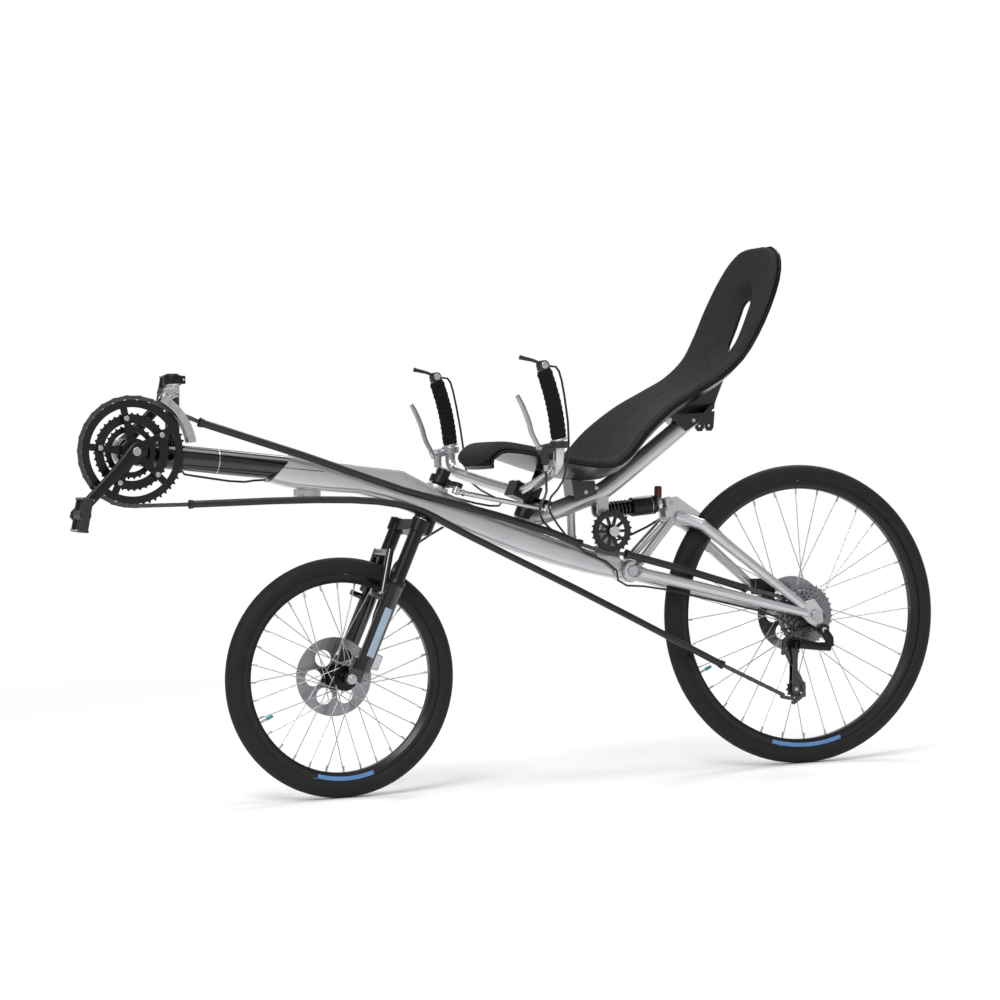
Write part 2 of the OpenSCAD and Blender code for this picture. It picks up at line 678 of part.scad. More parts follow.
grip_line = [for (f = [0 : 0.125 : 1]) mix(grip_foot, grip_top, f) + [5 * sin(180 * f), 0, 0]];
module grip(s) {
    color("#1c1c1c") placed() difference() {
        swept(at_side(grip_line, s), 16, [0, 1, 0]);
        swept(at_side(half_bar, s), bar_d / 2 + seated, [1, 0, 0]);
    }
}

module brake_lever(s) {
    c = [grip_foot[0], s * grip_foot[1], grip_foot[2]] - [0, 0, 18];
    color("#26272a") placed() difference() {
        union() {
            translate(c) cylinder(h = 14, r = 18);
            translate(c + [-50, -9, -32]) cube([40, 18, 46]);
            // Blade ahead of the grip.
            bar(c + [-44, 0, 8], c + [-62, 0, 50], 5);
            bar(c + [-60, 0, 46], c + [-84, 0, 108], 5.6, 4);
        }
        swept(at_side(half_bar, s), bar_d / 2 + seated, [1, 0, 0]);
    }
}

// Direction of the bar's open end, which the shift lever plugs.
end_dir = tangent(half_bar, len(half_bar) - 1);
module shift_lever(s) {
    c = [grip_top[0], s * grip_top[1], grip_top[2]];
    color("#303236") placed() {
        bar(c + 0.4 * end_dir, c + 12 * end_dir, 13);
        lateral(c + 10 * end_dir, c[1] - 13, c[1] + 13, 10);
        bar(c + [-10, 0, 14], c + [-48, 0, 26], 4, 3);
    }
}

module grip_left() { grip(LEFT); }
module grip_right() { grip(RIGHT); }
module brake_lever_left() { brake_lever(LEFT); }
module brake_lever_right() { brake_lever(RIGHT); }
module shift_lever_left() { shift_lever(LEFT); }
module shift_lever_right() { shift_lever(RIGHT); }

module tie_rod() {
    ends = [arm_end(fork_arm_at), arm_end(bar_arm_at)];
    color("#b9bbbe") placed() {
        for (e = ends) {
            at_axis(e - 16 * axis_up) cylinder(h = 20, r = 4);
            at_axis(e - 20 * axis_up) cylinder(h = 13.5, r = 8);
        }
        bar(ends[0] - 15 * axis_up, ends[1] - 15 * axis_up, 5);
    }
}

// ---- Wheels ----
module tyre(c, r) {
    h = tyre_w / 2;
    color("#232323") placed() translate(c) rotate([90, 0, 0]) rotate_extrude($fn = 96)
        difference() {
            translate([r - h, 0]) circle(r = h);
            translate([r - h, 0]) circle(r = h - 3.5);
            translate([bead(r) - 2 * h, -h]) square([2 * h + seated, 2 * h]);
        }
}

// Radius where the tyre sits on the rim, and the rim's depth below it.
function bead(r) = r - 1.68 * tyre_w / 2 - seated;
rim_depth = 17;
rim_half_w = 12;
module rim(c, r) {
    color("#1d1d1f") placed() translate(c) rotate([90, 0, 0]) rotate_extrude($fn = 96)
        difference() {
            polygon([[bead(r), -rim_half_w], [bead(r), rim_half_w], [bead(r) - 9, rim_half_w],
                [bead(r) - rim_depth, 7], [bead(r) - rim_depth, -7], [bead(r) - 9, -rim_half_w]]);
            translate([bead(r) - rim_depth + 3, -6]) square([6, 12]);
            translate([bead(r) - 6, -rim_half_w + 2]) square([20, 2 * rim_half_w - 4]);
        }
}

spoke_r = 1;
module spokes(c, r, flange_y, flange_r) {
    tip = bead(r) - rim_depth - seated;
    step = 360 / spoke_count;
    color("#9a9ca0") placed() translate(c) rotate([90, 0, 0]) for (k = [0 : spoke_count - 1]) {
        side = k % 2 == 0 ? 1 : -1;
        lead = floor(k / 2) % 2 == 0 ? 1 : -1;
        y = side > 0 ? flange_y[1] : -flange_y[0];
        hub_a = k * step - lead * 70;
        bar([(flange_r - 1.5) * cos(hub_a), (flange_r - 1.5) * sin(hub_a), -side * (y + (lead > 0 ? 3.6 : -2.9))],
            [tip * cos(k * step), tip * sin(k * step), -side * 1.5], spoke_r);
    }
}

module hub(c, half, flange_y, flange_r, body_r, bore) {
    color("#1c1d1f") placed() difference() {
        union() {
            lateral(c, -half, half, 10);
            lateral(c, flange_y[0], flange_y[1], body_r);
            for (y = flange_y) lateral(c, y - 1.6, y + 1.6, flange_r);
            if (flange_y[1] > 0) lateral(c, flange_y[1], disc_y - 1.2, 18);
        }
        lateral(c, -half - 1, half + 1, bore + running);
    }
}

module rotor(c) {
    color("#b4b6b9") placed() difference() {
        lateral(c, disc_y - 0.9, disc_y + 0.9, disc_r);
        for (k = [0 : 5]) translate(c) rotate([0, 60 * k, 0]) translate([44, disc_y, 0])
            rotate([90, 0, 0]) cylinder(h = 10, r = 17, center = true);
        lateral(c, disc_y - 5, disc_y + 5, 15);
    }
}

front_flange = [-27, 27];
rear_flange = [-13, 27];
flange_r_front = 26;
flange_r_rear = 29;
module front_tyre() { tyre(front_axle_p, front_r); }
module front_rim() { rim(front_axle_p, front_r); }
module front_spokes() { spokes(front_axle_p, front_r, front_flange, flange_r_front); }
module front_hub() { hub(front_axle_p, front_hub_half, front_flange, flange_r_front, 17, axle_r - 1); }
module front_rotor() { rotor(front_axle_p); }
module rear_tyre() { tyre(rear_axle_p, rear_r); }
module rear_rim() { rim(rear_axle_p, rear_r); }
module rear_spokes() { spokes(rear_axle_p, rear_r, rear_flange, flange_r_rear); }
module rear_hub() { hub(rear_axle_p, drop_y - 0.6, rear_flange, flange_r_rear, 18, axle_r); }
module rear_rotor() { rotor(rear_axle_p); }

// Sprockets from the smallest, on the chain line, to the largest, beside the hub.
cog_radii = [cog_r - link_h / 2 - 0.4, 24, 28, 33, 39, 46, 55, 66];
cog_gap = 4.6;
module cassette() {
    color("#a9abae") placed() difference() {
        union() {
            for (i = [0 : len(cog_radii) - 1]) lateral(rear_axle_p, chain_y - 0.9 + cog_gap * i,
                chain_y + 0.9 + cog_gap * i, cog_radii[i]);
            lateral(rear_axle_p, chain_y - 1, rear_flange[0] - 2, 17);
        }
        lateral(rear_axle_p, -drop_y, 0, 10 + seated);
    }
}

// ---- Cranks, rings and pedals ----
arm_y = 72;
arm_t = 14;
crank_dir = unit([-125, 0, -121]);
// Chainrings, outer, middle and inner: [outside radius, inside radius, outer side].
ring_rows = [[ring_r - link_h / 2 - 0.4, ring_r - 19, chain_y - 2], [76, 44, chain_y + 5.5],
    [53, 36, chain_y + 13]];
module crank_arm(s) {
    tip = bb - s * crank_len * crank_dir;
    y0 = s > 0 ? arm_y : -arm_y - arm_t;
    hull() {
        translate([bb[0], y0, bb[2]]) rotate([-90, 0, 0]) cylinder(h = arm_t, r = 18, $fn = 32);
        translate([tip[0], y0, tip[2]]) rotate([-90, 0, 0]) cylinder(h = arm_t, r = 13, $fn = 32);
    }
}

pedal_r = 7;
module cranks() {
    color("#1f1f20") placed() difference() {
        union() {
            for (s = [LEFT, RIGHT]) crank_arm(s);
            lateral(bb, -arm_y - 1, arm_y + 1, spindle_r);
            // Five-arm spider that carries the rings.
            lateral(bb, -arm_y - 1, chain_y - 2.3, 26);
            for (k = [0 : 4]) translate(bb) rotate([0, 72 * k + 44, 0])
                translate([0, chain_y - 8, -8]) cube([ring_r - 20.5, 5.5, 16]);
        }
        for (s = [LEFT, RIGHT]) lateral(bb - s * crank_len * crank_dir, -120, 120, pedal_r + running);
    }
}

module chainrings() {
    color("#3a3b3e") placed() {
        for (r = ring_rows) lateral(bb, r[2], r[2] + 4, r[0], r[1]);
        // Tabs and bolts: the outer pair of rings on the spider, the inner ring on the middle one.
        for (k = [0 : 4]) translate(bb) rotate([0, 72 * k + 44, 0]) {
            translate([56, chain_y - 1.7, -7]) cube([ring_rows[0][1] - 54, 3.4, 14]);
            translate([66, chain_y + 5.8, 0]) rotate([90, 0, 0]) cylinder(h = 8, r = 6);
            translate([46, chain_y + 16.2, 0]) rotate([90, 0, 0]) cylinder(h = 10.2, r = 5);
        }
    }
}

pedal_span = 62;
module pedal(s) {
    c = bb - s * crank_len * crank_dir;
    y0 = s * (arm_y + arm_t + 4);
    y1 = y0 + s * pedal_span;
    color("#232325") placed() {
        lateral(c, min(s * arm_y, y1 - s), max(s * arm_y, y1 - s), pedal_r);
        translate([c[0], min(y0, y1), c[2]]) rotate([0, -78, 0]) translate([-33, 0, -14]) cube([66, pedal_span, 28]);
    }
}

module pedal_left() { pedal(LEFT); }
module pedal_right() { pedal(RIGHT); }

module chain_idler() {
    r = idler_r - link_h / 2 - 0.4;
    color("#1a1a1a") placed() difference() {
        lateral(idler_c, chain_y - 4, chain_y + 4, r);
        for (k = [0 : 9]) translate([idler_c[0], chain_y, idler_c[2]]) rotate([0, 36 * k, 0])
            translate([r * 0.62, 0, 0]) rotate([90, 0, 0]) cylinder(h = 20, r = 5.5, center = true);
        lateral(idler_c, chain_y - 5, chain_y + 5, axle_r + running);
    }
}

// ---- Hoses and cables ----
hose_r = 2.5;
cable_r = 2.2;
// Directions that no hose of that side of the bicycle ever follows.
function hose_side(s) = s == LEFT ? [0.5, 1, 1] : [1, -1, 0.5];
module hose(points, r, s) {
    color("#141414") placed() swept(rounded(points, 1), r, hose_side(s), 12);
}
function in_fork(x, y, z) = race + x * axis_back + z * axis_up + [0, y, 0];
function on_lever(s, d) = [grip_foot[0] - 30, s * grip_foot[1], grip_foot[2] - 50] + d;
function grip_foot_at(s, d) = [grip_foot[0], s * grip_foot[1], grip_foot[2]] + d;
function on_pod(s, d) = [grip_top[0], s * grip_top[1], grip_top[2]] + d;
link_foot = mix(post_foot, post_top, 0.86) + [-4, -30, -34 - seated];
caliper_top = rear_axle_p + [-66, 46, 78 + seated];

// From the left lever, through the gap under the seat tube, to the rear caliper.
module rear_brake_hose() {
    hose([on_lever(LEFT, [0, 0, -seated]), on_lever(LEFT, [0, 0, -30]), hips + [-205, -250, -30],
        hips + [-175, -140, -52], hips + [-138, -62, -82], hips + [-100, -20, -104],
        hips + [-78, 12, -108], hips + [-45, 34, -130], pivot + [-65, 36, 48], pivot + [-15, 44, 58],
        brace + [-40, 54, -22], brace + [20, 54, 8], seatstay[0] + [12, 12, 24],
        seatstay[0] + [70, 18, -28], caliper_top + [-40, 18, 48], caliper_top + [-8, 6, 34],
        caliper_top + [0, 0, 16], caliper_top], hose_r, LEFT);
}

// From the right lever, down the back of the right fork leg, to the front caliper.
module front_brake_hose() {
    hose([on_lever(RIGHT, [0, 0, -seated]), on_lever(RIGHT, [0, 0, -30]), hips + [-215, 250, -40],
        hips + [-220, 150, -72], hips + [-300, 104, -96], in_fork(2, 72, -90), in_fork(-5, 66, -170),
        in_fork(-3, 64, -240), in_fork(8, 52, -268), in_fork(10, 46, -282),
        in_fork(10, 46, -fork_len + 76 + seated)], hose_r, RIGHT);
}

// From the left shift lever, under the left chainstay, to the rear derailleur.
module shift_cable_rear() {
    hose([on_pod(LEFT, [12.4, 0, 8]), on_pod(LEFT, [30, 0, 6]), on_pod(LEFT, [40, 0, -30]),
        grip_foot_at(LEFT, [26, 6, 10]), grip_foot_at(LEFT, [24, 22, -60]), hips + [-165, -232, -12],
        hips + [-148, -120, -44], hips + [-112, -52, -76], hips + [-50, -33, -145],
        pivot + [-36, -33, 12], pivot + [-32, -33, -28], pivot + [40, -40, -34],
        mix(pivot, stay_foot, 0.4) + [0, -54, -20], mix(pivot, stay_foot, 0.8) + [0, -68, -19],
        rear_axle_p + [-50, -79, -28], rear_axle_p + [-22, -80, -32],
        rear_axle_p + [-1 - seated, -80, -32]], cable_r, LEFT);
}

// From the right shift lever, along the beam and under the boom, to the front derailleur.
module shift_cable_front() {
    hose([on_pod(RIGHT, [12.4, 0, 8]), on_pod(RIGHT, [30, 0, 6]), on_pod(RIGHT, [40, 0, -30]),
        grip_foot_at(RIGHT, [26, -6, 10]), grip_foot_at(RIGHT, [24, -22, -60]), hips + [-165, 232, -12],
        hips + [-148, 120, -44], hips + [-190, 44, -55], race + [100, 31, 25], race + [0, 31, 60],
        race + [-150, 30, 85], race + [-345, 31, 84], race + [-390, 14, 80], race + [-480, 4, 95],
        post_foot + [10, -12, -56], post_foot + [10, -34, -24], post_foot + [2, -32, 30],
        link_foot + [0, 0, -20], link_foot], cable_r, RIGHT);
}

handlebar_post();
swingarm();
suspension_bolts();
shock_absorber();
rear_axle();
rear_caliper();
idler_axle();
chain();
drive_tube_front();
drive_tube_rear();
return_tube();
rear_derailleur();
fork_crown();
fork_lowers();
steering_arm();
front_axle();
front_caliper();
handlebar_stem();
handlebar();
grip_left();
grip_right();
brake_lever_left();
brake_lever_right();
shift_lever_left();
shift_lever_right();
tie_rod();
front_tyre();
front_rim();
front_spokes();
front_hub();
front_rotor();
rear_tyre();
rear_rim();
rear_spokes();
rear_hub();
cassette();
rear_rotor();
cranks();
chainrings();
pedal_left();
pedal_right();
chain_idler();
rear_brake_hose();
front_brake_hose();
shift_cable_rear();
shift_cable_front();
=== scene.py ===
import json
import math

import bmesh
import bpy
from mathutils import Matrix, Vector


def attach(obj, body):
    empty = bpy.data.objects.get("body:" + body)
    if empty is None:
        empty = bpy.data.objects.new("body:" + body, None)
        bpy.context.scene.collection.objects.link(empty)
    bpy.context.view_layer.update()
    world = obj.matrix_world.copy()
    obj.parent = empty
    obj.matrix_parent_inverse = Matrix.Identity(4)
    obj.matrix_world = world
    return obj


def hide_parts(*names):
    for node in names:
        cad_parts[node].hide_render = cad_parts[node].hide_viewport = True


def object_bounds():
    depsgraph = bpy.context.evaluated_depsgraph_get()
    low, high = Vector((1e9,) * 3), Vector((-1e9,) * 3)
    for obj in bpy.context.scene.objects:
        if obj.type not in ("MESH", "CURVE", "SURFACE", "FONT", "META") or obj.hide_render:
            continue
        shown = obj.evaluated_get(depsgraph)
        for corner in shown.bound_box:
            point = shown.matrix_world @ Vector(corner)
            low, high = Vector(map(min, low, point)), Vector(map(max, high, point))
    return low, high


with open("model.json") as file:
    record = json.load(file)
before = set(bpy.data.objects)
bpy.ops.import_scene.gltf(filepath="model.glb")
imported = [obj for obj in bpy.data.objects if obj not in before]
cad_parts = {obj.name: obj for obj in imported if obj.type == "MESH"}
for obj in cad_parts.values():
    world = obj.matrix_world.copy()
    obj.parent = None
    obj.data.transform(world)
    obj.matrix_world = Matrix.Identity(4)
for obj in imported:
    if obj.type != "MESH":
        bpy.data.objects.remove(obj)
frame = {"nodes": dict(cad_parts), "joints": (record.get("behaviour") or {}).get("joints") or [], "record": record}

cad_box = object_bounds()
MM = 0.001


def vec(x, y, z):
    return Vector((x, y, z))


Y = vec(0, 1, 0)


def ray(a):
    """The direction at an angle in the plane of the wheels."""
    return vec(math.cos(a), 0, math.sin(a))


def flat(p):
    """A point brought to the middle plane."""
    return vec(p.x, 0, p.z)


# ---- Studio ----
# A pale seamless floor under a white sky. A broad soft lamp stands at the front left, a weaker one
# behind the seat, and the camera looks at the drive side from low down and a little ahead.
GROUND_Z = cad_box[0].z


def linear(code):
    """An sRGB hex colour as the linear RGBA that shaders work in."""
    parts = [int(code[i:i + 2], 16) / 255 for i in (0, 2, 4)]
    return [c / 12.92 if c < 0.04045 else ((c + 0.055) / 1.055) ** 2.4 for c in parts] + [1.0]


def add(tree, kind, settings=None, links=None):
    """Adds a node. links gives each input either a value or the output socket that feeds it."""
    made = tree.nodes.new(kind)
    for name, value in (settings or {}).items():
        setattr(made, name, value)
    for name, value in (links or {}).items():
        if isinstance(value, bpy.types.NodeSocket):
            tree.links.new(value, made.inputs[name])
        else:
            made.inputs[name].default_value = value
    return made


def empty_material(name):
    """A material with its nodes cleared, as (material, node tree)."""
    made = bpy.data.materials.new(name)
    made.use_nodes = True
    made.node_tree.nodes.clear()
    return made, made.node_tree


def mesh_object(name, verts, faces):
    """A plain mesh with its place in its vertices."""
    mesh = bpy.data.meshes.new(name)
    mesh.from_pydata([tuple(v) for v in verts], [], [list(f) for f in faces])
    made = bpy.data.objects.new(name, mesh)
    bpy.context.scene.collection.objects.link(made)
    return made


# The floor keeps its shadow near the wheels and fades to the sky's white further out.
floor_half = 60
floor = mesh_object("floor", [(-floor_half, -floor_half, GROUND_Z), (floor_half, -floor_half, GROUND_Z),
                              (floor_half, floor_half, GROUND_Z), (-floor_half, floor_half, GROUND_Z)],
                    [(0, 1, 2, 3)])
paper, tree = empty_material("seamless_paper")
place = add(tree, "ShaderNodeTexCoord").outputs["Object"]
far = add(tree, "ShaderNodeVectorMath", {"operation": "LENGTH"}, {0: place})
fade = add(tree, "ShaderNodeMapRange", {"interpolation_type": "SMOOTHSTEP"},
           {"Value": far.outputs["Value"], "From Min": 1.2, "From Max": 4.5})
rays = add(tree, "ShaderNodeLightPath")
seen = add(tree, "ShaderNodeMath", {"operation": "MAXIMUM"},
           {0: rays.outputs["Is Camera Ray"], 1: rays.outputs["Is Glossy Ray"]})
white = add(tree, "ShaderNodeEmission", None, {"Color": linear("FFFFFF"), "Strength": seen.outputs[0]})
near = add(tree, "ShaderNodeBsdfDiffuse", None, {"Color": linear("F4F4F4")})
both = add(tree, "ShaderNodeMixShader", None,
           {0: fade.outputs["Result"], 1: near.outputs[0], 2: white.outputs[0]})
add(tree, "ShaderNodeOutputMaterial", None, {"Surface": both.outputs[0]})
floor.data.materials.append(paper)

sky = bpy.data.worlds.new("sky")
sky.use_nodes = True
tree = sky.node_tree
tree.nodes.clear()
rays = add(tree, "ShaderNodeLightPath")
seen = add(tree, "ShaderNodeMath", {"operation": "MAXIMUM"},
           {0: rays.outputs["Is Camera Ray"], 1: rays.outputs["Is Transmission Ray"]})
SKY_LIGHT = 0.5
level = add(tree, "ShaderNodeMapRange", None,
            {"Value": seen.outputs[0], "To Min": SKY_LIGHT, "To Max": 1.0})
glow = add(tree, "ShaderNodeBackground", None,
           {"Color": linear("FFFFFF"), "Strength": level.outputs["Result"]})
add(tree, "ShaderNodeOutputWorld", None, {"Surface": glow.outputs[0]})
bpy.context.scene.world = sky

# Lamps: place, point each looks at, side of the square and power in watts.
for name, at, target, side, power in (
        ("key_lamp", (-3.4, -4.2, 4.2), (-0.3, 0, 0), 2.6, 250),
        ("rim_lamp", (2.4, 3.2, 3.4), (0, 0, 0), 2.0, 90),
        ("top_lamp", (0.2, -0.6, 4.4), (-0.2, 0, 0), 3.0, 90)):
    lamp = bpy.data.lights.new(name, "AREA")
    lamp.size = side
    lamp.energy = power
    shown = bpy.data.objects.new(name, lamp)
    shown.location = at
    shown.rotation_euler = (Vector(target) - Vector(at)).to_track_quat("-Z", "Y").to_euler()
    bpy.context.scene.collection.objects.link(shown)

# A long lens. right and ahead are the camera's own right hand and where it looks.
camera = bpy.data.objects.new("camera", bpy.data.cameras.new("camera"))
camera.data.lens = 112.88
camera.data.sensor_width = 36
camera.data.clip_end = 200
right = vec(0.92435, -0.37999, -0.03438)
ahead = vec(0.37985, 0.92499, -0.01067)
turn = Matrix((right, right.cross(ahead), -ahead)).transposed().to_4x4()
camera.matrix_world = Matrix.Translation((-2.64547, -5.94919, 0.00914)) @ turn
bpy.context.scene.collection.objects.link(camera)
bpy.context.scene.camera = camera
bpy.context.scene.view_settings.view_transform = "Standard"

# ---- Main frame ----
# A hydroformed aluminium beam runs from the boom clamp over the fork to the swingarm's pivot, with a
# bent round tube above it for the seat. All of it is welded, then painted silver and lacquered.
hub_of = {j["name"]: Vector(j["pos_m"]) for j in frame["joints"]}
AXIS_UP = Vector(frame["joints"][0]["axis"]).normalized()
AXIS_BACK = vec(AXIS_UP.z, 0, -AXIS_UP.x)
race = hub_of["steer"]
rear_axle = flat(hub_of["rear_wheel_spin"])
front_axle = flat(hub_of["front_wheel_spin"])
crank_axis = flat(hub_of["crank_spin"])
idler_axis = flat(hub_of["idler_spin"])
bar_pivot = hub_of["handlebar_turn"]
pivot = rear_axle + vec(-0.405, 0, 0.110)
hips = vec(0, 0, -0.020)


def principled(name, code, roughness, metallic=0.0, coat=0.0, specular=0.5):
    """A plain Principled material, as (material, tree, shader)."""
    made, tree = empty_material(name)
    shader = add(tree, "ShaderNodeBsdfPrincipled", None, {
        "Base Color": linear(code), "Roughness": roughness, "Metallic": metallic,
        "Coat Weight": coat, "Coat Roughness": 0.05, "Specular IOR Level": specular})
    add(tree, "ShaderNodeOutputMaterial", None, {"Surface": shader.outputs[0]})
    return made, tree, shader


def noise(tree, size, detail, stretch=(1, 1, 1)):
    """Noise in patches of the given size in metres, fixed to the piece."""
    place = add(tree, "ShaderNodeTexCoord").outputs["Object"]
    scaled = add(tree, "ShaderNodeMapping", None, {"Vector": place, "Scale": stretch})
    return add(tree, "ShaderNodeTexNoise", None,
               {"Vector": scaled.outputs[0], "Scale": 1 / size, "Detail": detail}).outputs["Fac"]


def shaded(tree, shader, factor, code_a, code_b):
    """Lets the colour go from one shade to another as the factor does."""
    mix = add(tree, "ShaderNodeMix", {"data_type": "RGBA"},
              {"Factor": factor, 6: linear(code_a), 7: linear(code_b)})
    tree.links.new(mix.outputs[2], shader.inputs["Base Color"])


def bumpy(tree, shader, height, distance):
    """Feeds a height output to the shader's normal, distance deep in metres."""
    bump = add(tree, "ShaderNodeBump", None, {"Height": height, "Distance": distance, "Strength": 1.0})
    tree.links.new(bump.outputs[0], shader.inputs["Normal"])


def finish(name, code, roughness, shades, grain=None, dull=None, **more):
    """A finish with its own pattern, in metres. shades is two colours and the size of their patches,
    grain the size and depth of fine bumps, dull the low and high roughness and the size of its patches."""
    made, tree, shader = principled(name, code, roughness, **more)
    code_a, code_b, size, *stretch = shades
    shaded(tree, shader, noise(tree, size, 3.0, *stretch), code_a, code_b)
    if grain:
        bumpy(tree, shader, noise(tree, grain[0], 2.0), grain[1])
    if dull:
        spread = add(tree, "ShaderNodeMapRange", None, {
            "Value": noise(tree, dull[2], 4.0), "From Min": 0.3, "From Max": 0.7,
            "To Min": dull[0], "To Max": dull[1]})
        tree.links.new(spread.outputs["Result"], shader.inputs["Roughness"])
    return made


# Silver paint under clear lacquer: bright, faintly mottled by the metal flakes in it.
silver_paint = finish("silver_lacquer", "C0C2C4", 0.28, ("B4B6B9", "CCCED0", 0.05), (0.0006, 0.00002),
                      metallic=0.7, coat=0.6)


def merged(*shapes):
    """Several (vertices, faces) shapes as one."""
    verts, faces = [], []
    for v, f in shapes:
        base = len(verts)
        verts += [Vector(p) for p in v]
        faces += [[i + base for i in face] for face in f]
    return verts, faces


def moved(shape, matrix):
    return [matrix @ Vector(p) for p in shape[0]], shape[1]


def mirrored(shape):
    """The shape and its mirror image across the middle plane."""
    verts, faces = shape
    return merged(shape, ([vec(p[0], -p[1], p[2]) for p in verts], [list(reversed(f)) for f in faces]))


def loft(rings, closed=False):
    """Skin over rings of equal length, capped at both ends unless the loft closes on itself."""
    n, m = len(rings[0]), len(rings)
    verts = [p for ring in rings for p in ring]
    faces = [[i % m * n + k, i % m * n + (k + 1) % n, (i + 1) % m * n + (k + 1) % n, (i + 1) % m * n + k]
             for i in range(m if closed else m - 1) for k in range(n)]
    if not closed:
        faces += [list(range(n))[::-1], [(m - 1) * n + k for k in range(n)]]
    return verts, faces


def tube(path, radius, sides=16, closed=False, flat=1.0):
    """A round bar along a path. radius is one number or one for each point; flat squeezes it."""
    path = [Vector(p) for p in path]
    m = len(path)
    radii = radius if isinstance(radius, (list, tuple)) else [radius] * m
    rings, across = [], None
    for i, p in enumerate(path):
        before = path[i - 1] if i or closed else path[0]
        after = path[(i + 1) % m] if i < m - 1 or closed else path[-1]
        along = (after - before).normalized()
        if across is None:
            across = along.cross(Y)
            if across.length < 0.2:
                across = along.cross(vec(1, 0, 0))
        across = (across - along * across.dot(along)).normalized()
        other = along.cross(across)
        rings.append([p + radii[i] * (math.cos(a) * across + flat * math.sin(a) * other)
                      for a in (2 * math.pi * k / sides for k in range(sides))])
    return loft(rings, closed)


def rod(a, b, radius, end_radius=None, sides=24):
    return tube([a, b], [radius, radius if end_radius is None else end_radius], sides)


def lathe(profile, centre, axis=(0, 1, 0), steps=48, whole=True):
    """Turns a profile of (radius, distance along the axis) about an axis. A whole one is a closed ring."""
    axis = Vector(axis).normalized()
    u = axis.orthogonal().normalized()
    w = axis.cross(u)
    rings = []
    for k in range(steps):
        a = 2 * math.pi * k / steps
        out = math.cos(a) * u + math.sin(a) * w
        rings.append([Vector(centre) + r * out + h * axis for r, h in profile])
    n = len(profile)
    verts = [p for ring in rings for p in ring]
    last = n if whole else n - 1
    faces = [[k * n + i, k * n + (i + 1) % n, (k + 1) % steps * n + (i + 1) % n, (k + 1) % steps * n + i]
             for k in range(steps) for i in range(last)]
    return verts, faces


def block(centre, size, turn=None):
    """A box; turn is a matrix that turns it about its own centre."""
    half = Vector(size) / 2
    corners = [vec(x * half.x, y * half.y, z * half.z) for x in (-1, 1) for y in (-1, 1) for z in (-1, 1)]
    if turn is not None:
        corners = [turn @ c for c in corners]
    return [Vector(centre) + c for c in corners], [
        (0, 1, 3, 2), (4, 6, 7, 5), (0, 4, 5, 1), (2, 3, 7, 6), (0, 2, 6, 4), (1, 5, 7, 3)]


def smoothed(path, passes=2):
    """Rounds a path's corners; each pass cuts every corner to a shorter one."""
    path = [Vector(p) for p in path]
    for _ in range(passes):
        cut = [path[0]]
        for a, b in zip(path, path[1:]):
            cut += [a.lerp(b, 0.25), a.lerp(b, 0.75)]
        path = cut + [path[-1]]
    return path


def settle(piece, sharp=35):
    """Closes doubles, turns the faces outwards and shades them smooth up to the given angle."""
    shape = bmesh.new()
    shape.from_mesh(piece.data)
    bmesh.ops.remove_doubles(shape, verts=shape.verts, dist=1e-6)
    bmesh.ops.dissolve_degenerate(shape, edges=shape.edges, dist=1e-7)
    bmesh.ops.recalc_face_normals(shape, faces=shape.faces)
    shape.to_mesh(piece.data)
    shape.free()
    piece.data.shade_smooth()
    piece.data.set_sharp_from_angle(angle=math.radians(sharp))


def broken(piece, width, sharp):
    """Rounds the edges sharper than an angle, so that they catch the light."""
    if width:
        edge = piece.modifiers.new("edges", "BEVEL")
        edge.width = width
        edge.segments = 2
        edge.limit_method = "ANGLE"
        edge.angle_limit = math.radians(sharp)


def build(name, shape, material, body, stands_for=(), bevel=0.0, sharp=35):
    """Makes a piece, finishes its edges, sets what it rides on and hides the parts it stands for."""
    piece = mesh_object(name, *shape)
    settle(piece, sharp)
    broken(piece, bevel, sharp)
    piece.data.materials.append(material)
    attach(piece, body)
    if stands_for:
        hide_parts(*stands_for)
    return piece


body_of = {n: b for b, nodes in frame["record"]["behaviour"]["bodies"].items() for n in nodes}


def carry(node, material, bevel=0.0006, sharp=30):
    """A finished copy of a solid of the frame: closed up, its edges broken and its faces smooth."""
    copy = bpy.data.objects.new(node + "_shown", frame["nodes"][node].data.copy())
    bpy.context.scene.collection.objects.link(copy)
    copy.data.materials.clear()
    copy.data.materials.append(material)
    if copy.data.has_custom_normals:
        copy.data.attributes.remove(copy.data.attributes["custom_normal"])
    for polygon in copy.data.polygons:
        polygon.material_index = 0
    shape = bmesh.new()
    shape.from_mesh(copy.data)
    bmesh.ops.remove_doubles(shape, verts=shape.verts, dist=2e-6)
    bmesh.ops.dissolve_limit(shape, angle_limit=math.radians(0.5), verts=shape.verts, edges=shape.edges)
    shape.to_mesh(copy.data)
    shape.free()
    copy.data.shade_smooth()
    copy.data.set_sharp_from_angle(angle=math.radians(sharp))
    broken(copy, bevel, sharp)
    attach(copy, body_of[node])
    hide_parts(node)


def from_race(ahead_mm, up_mm):
    return race + vec(-ahead_mm, 0, up_mm) * MM


# The beam as [top corner, bottom corner] of each section, each [ahead of the race, above it] in mm.
nose = [[(283, 133), (338, 79)], [(262, 129), (296, 67)], [(205, 119), (212, 55)], [(150, 110), (150, 49)],
        [(96, 103), (96, 33)], [(55, 96), (55, 17)]]
BEAM_W = 0.050
crest = from_race(55, 56)


def along_tail(f):
    return crest.lerp(pivot, f) - vec(0, 0, 0.064 * f * (1 - f))


sections = [(from_race(*top), from_race(*low)) for top, low in nose]
for f, height in ((0.2, 70), (0.41, 62), (0.55, 59), (0.68, 56), (0.82, 51), (0.92, 46), (0.985, 43)):
    lift = vec(0, 0, height * MM / 2)
    sections.append((along_tail(f) + lift, along_tail(f) - lift))


def power(value, exponent):
    return math.copysign(abs(value) ** exponent, value)


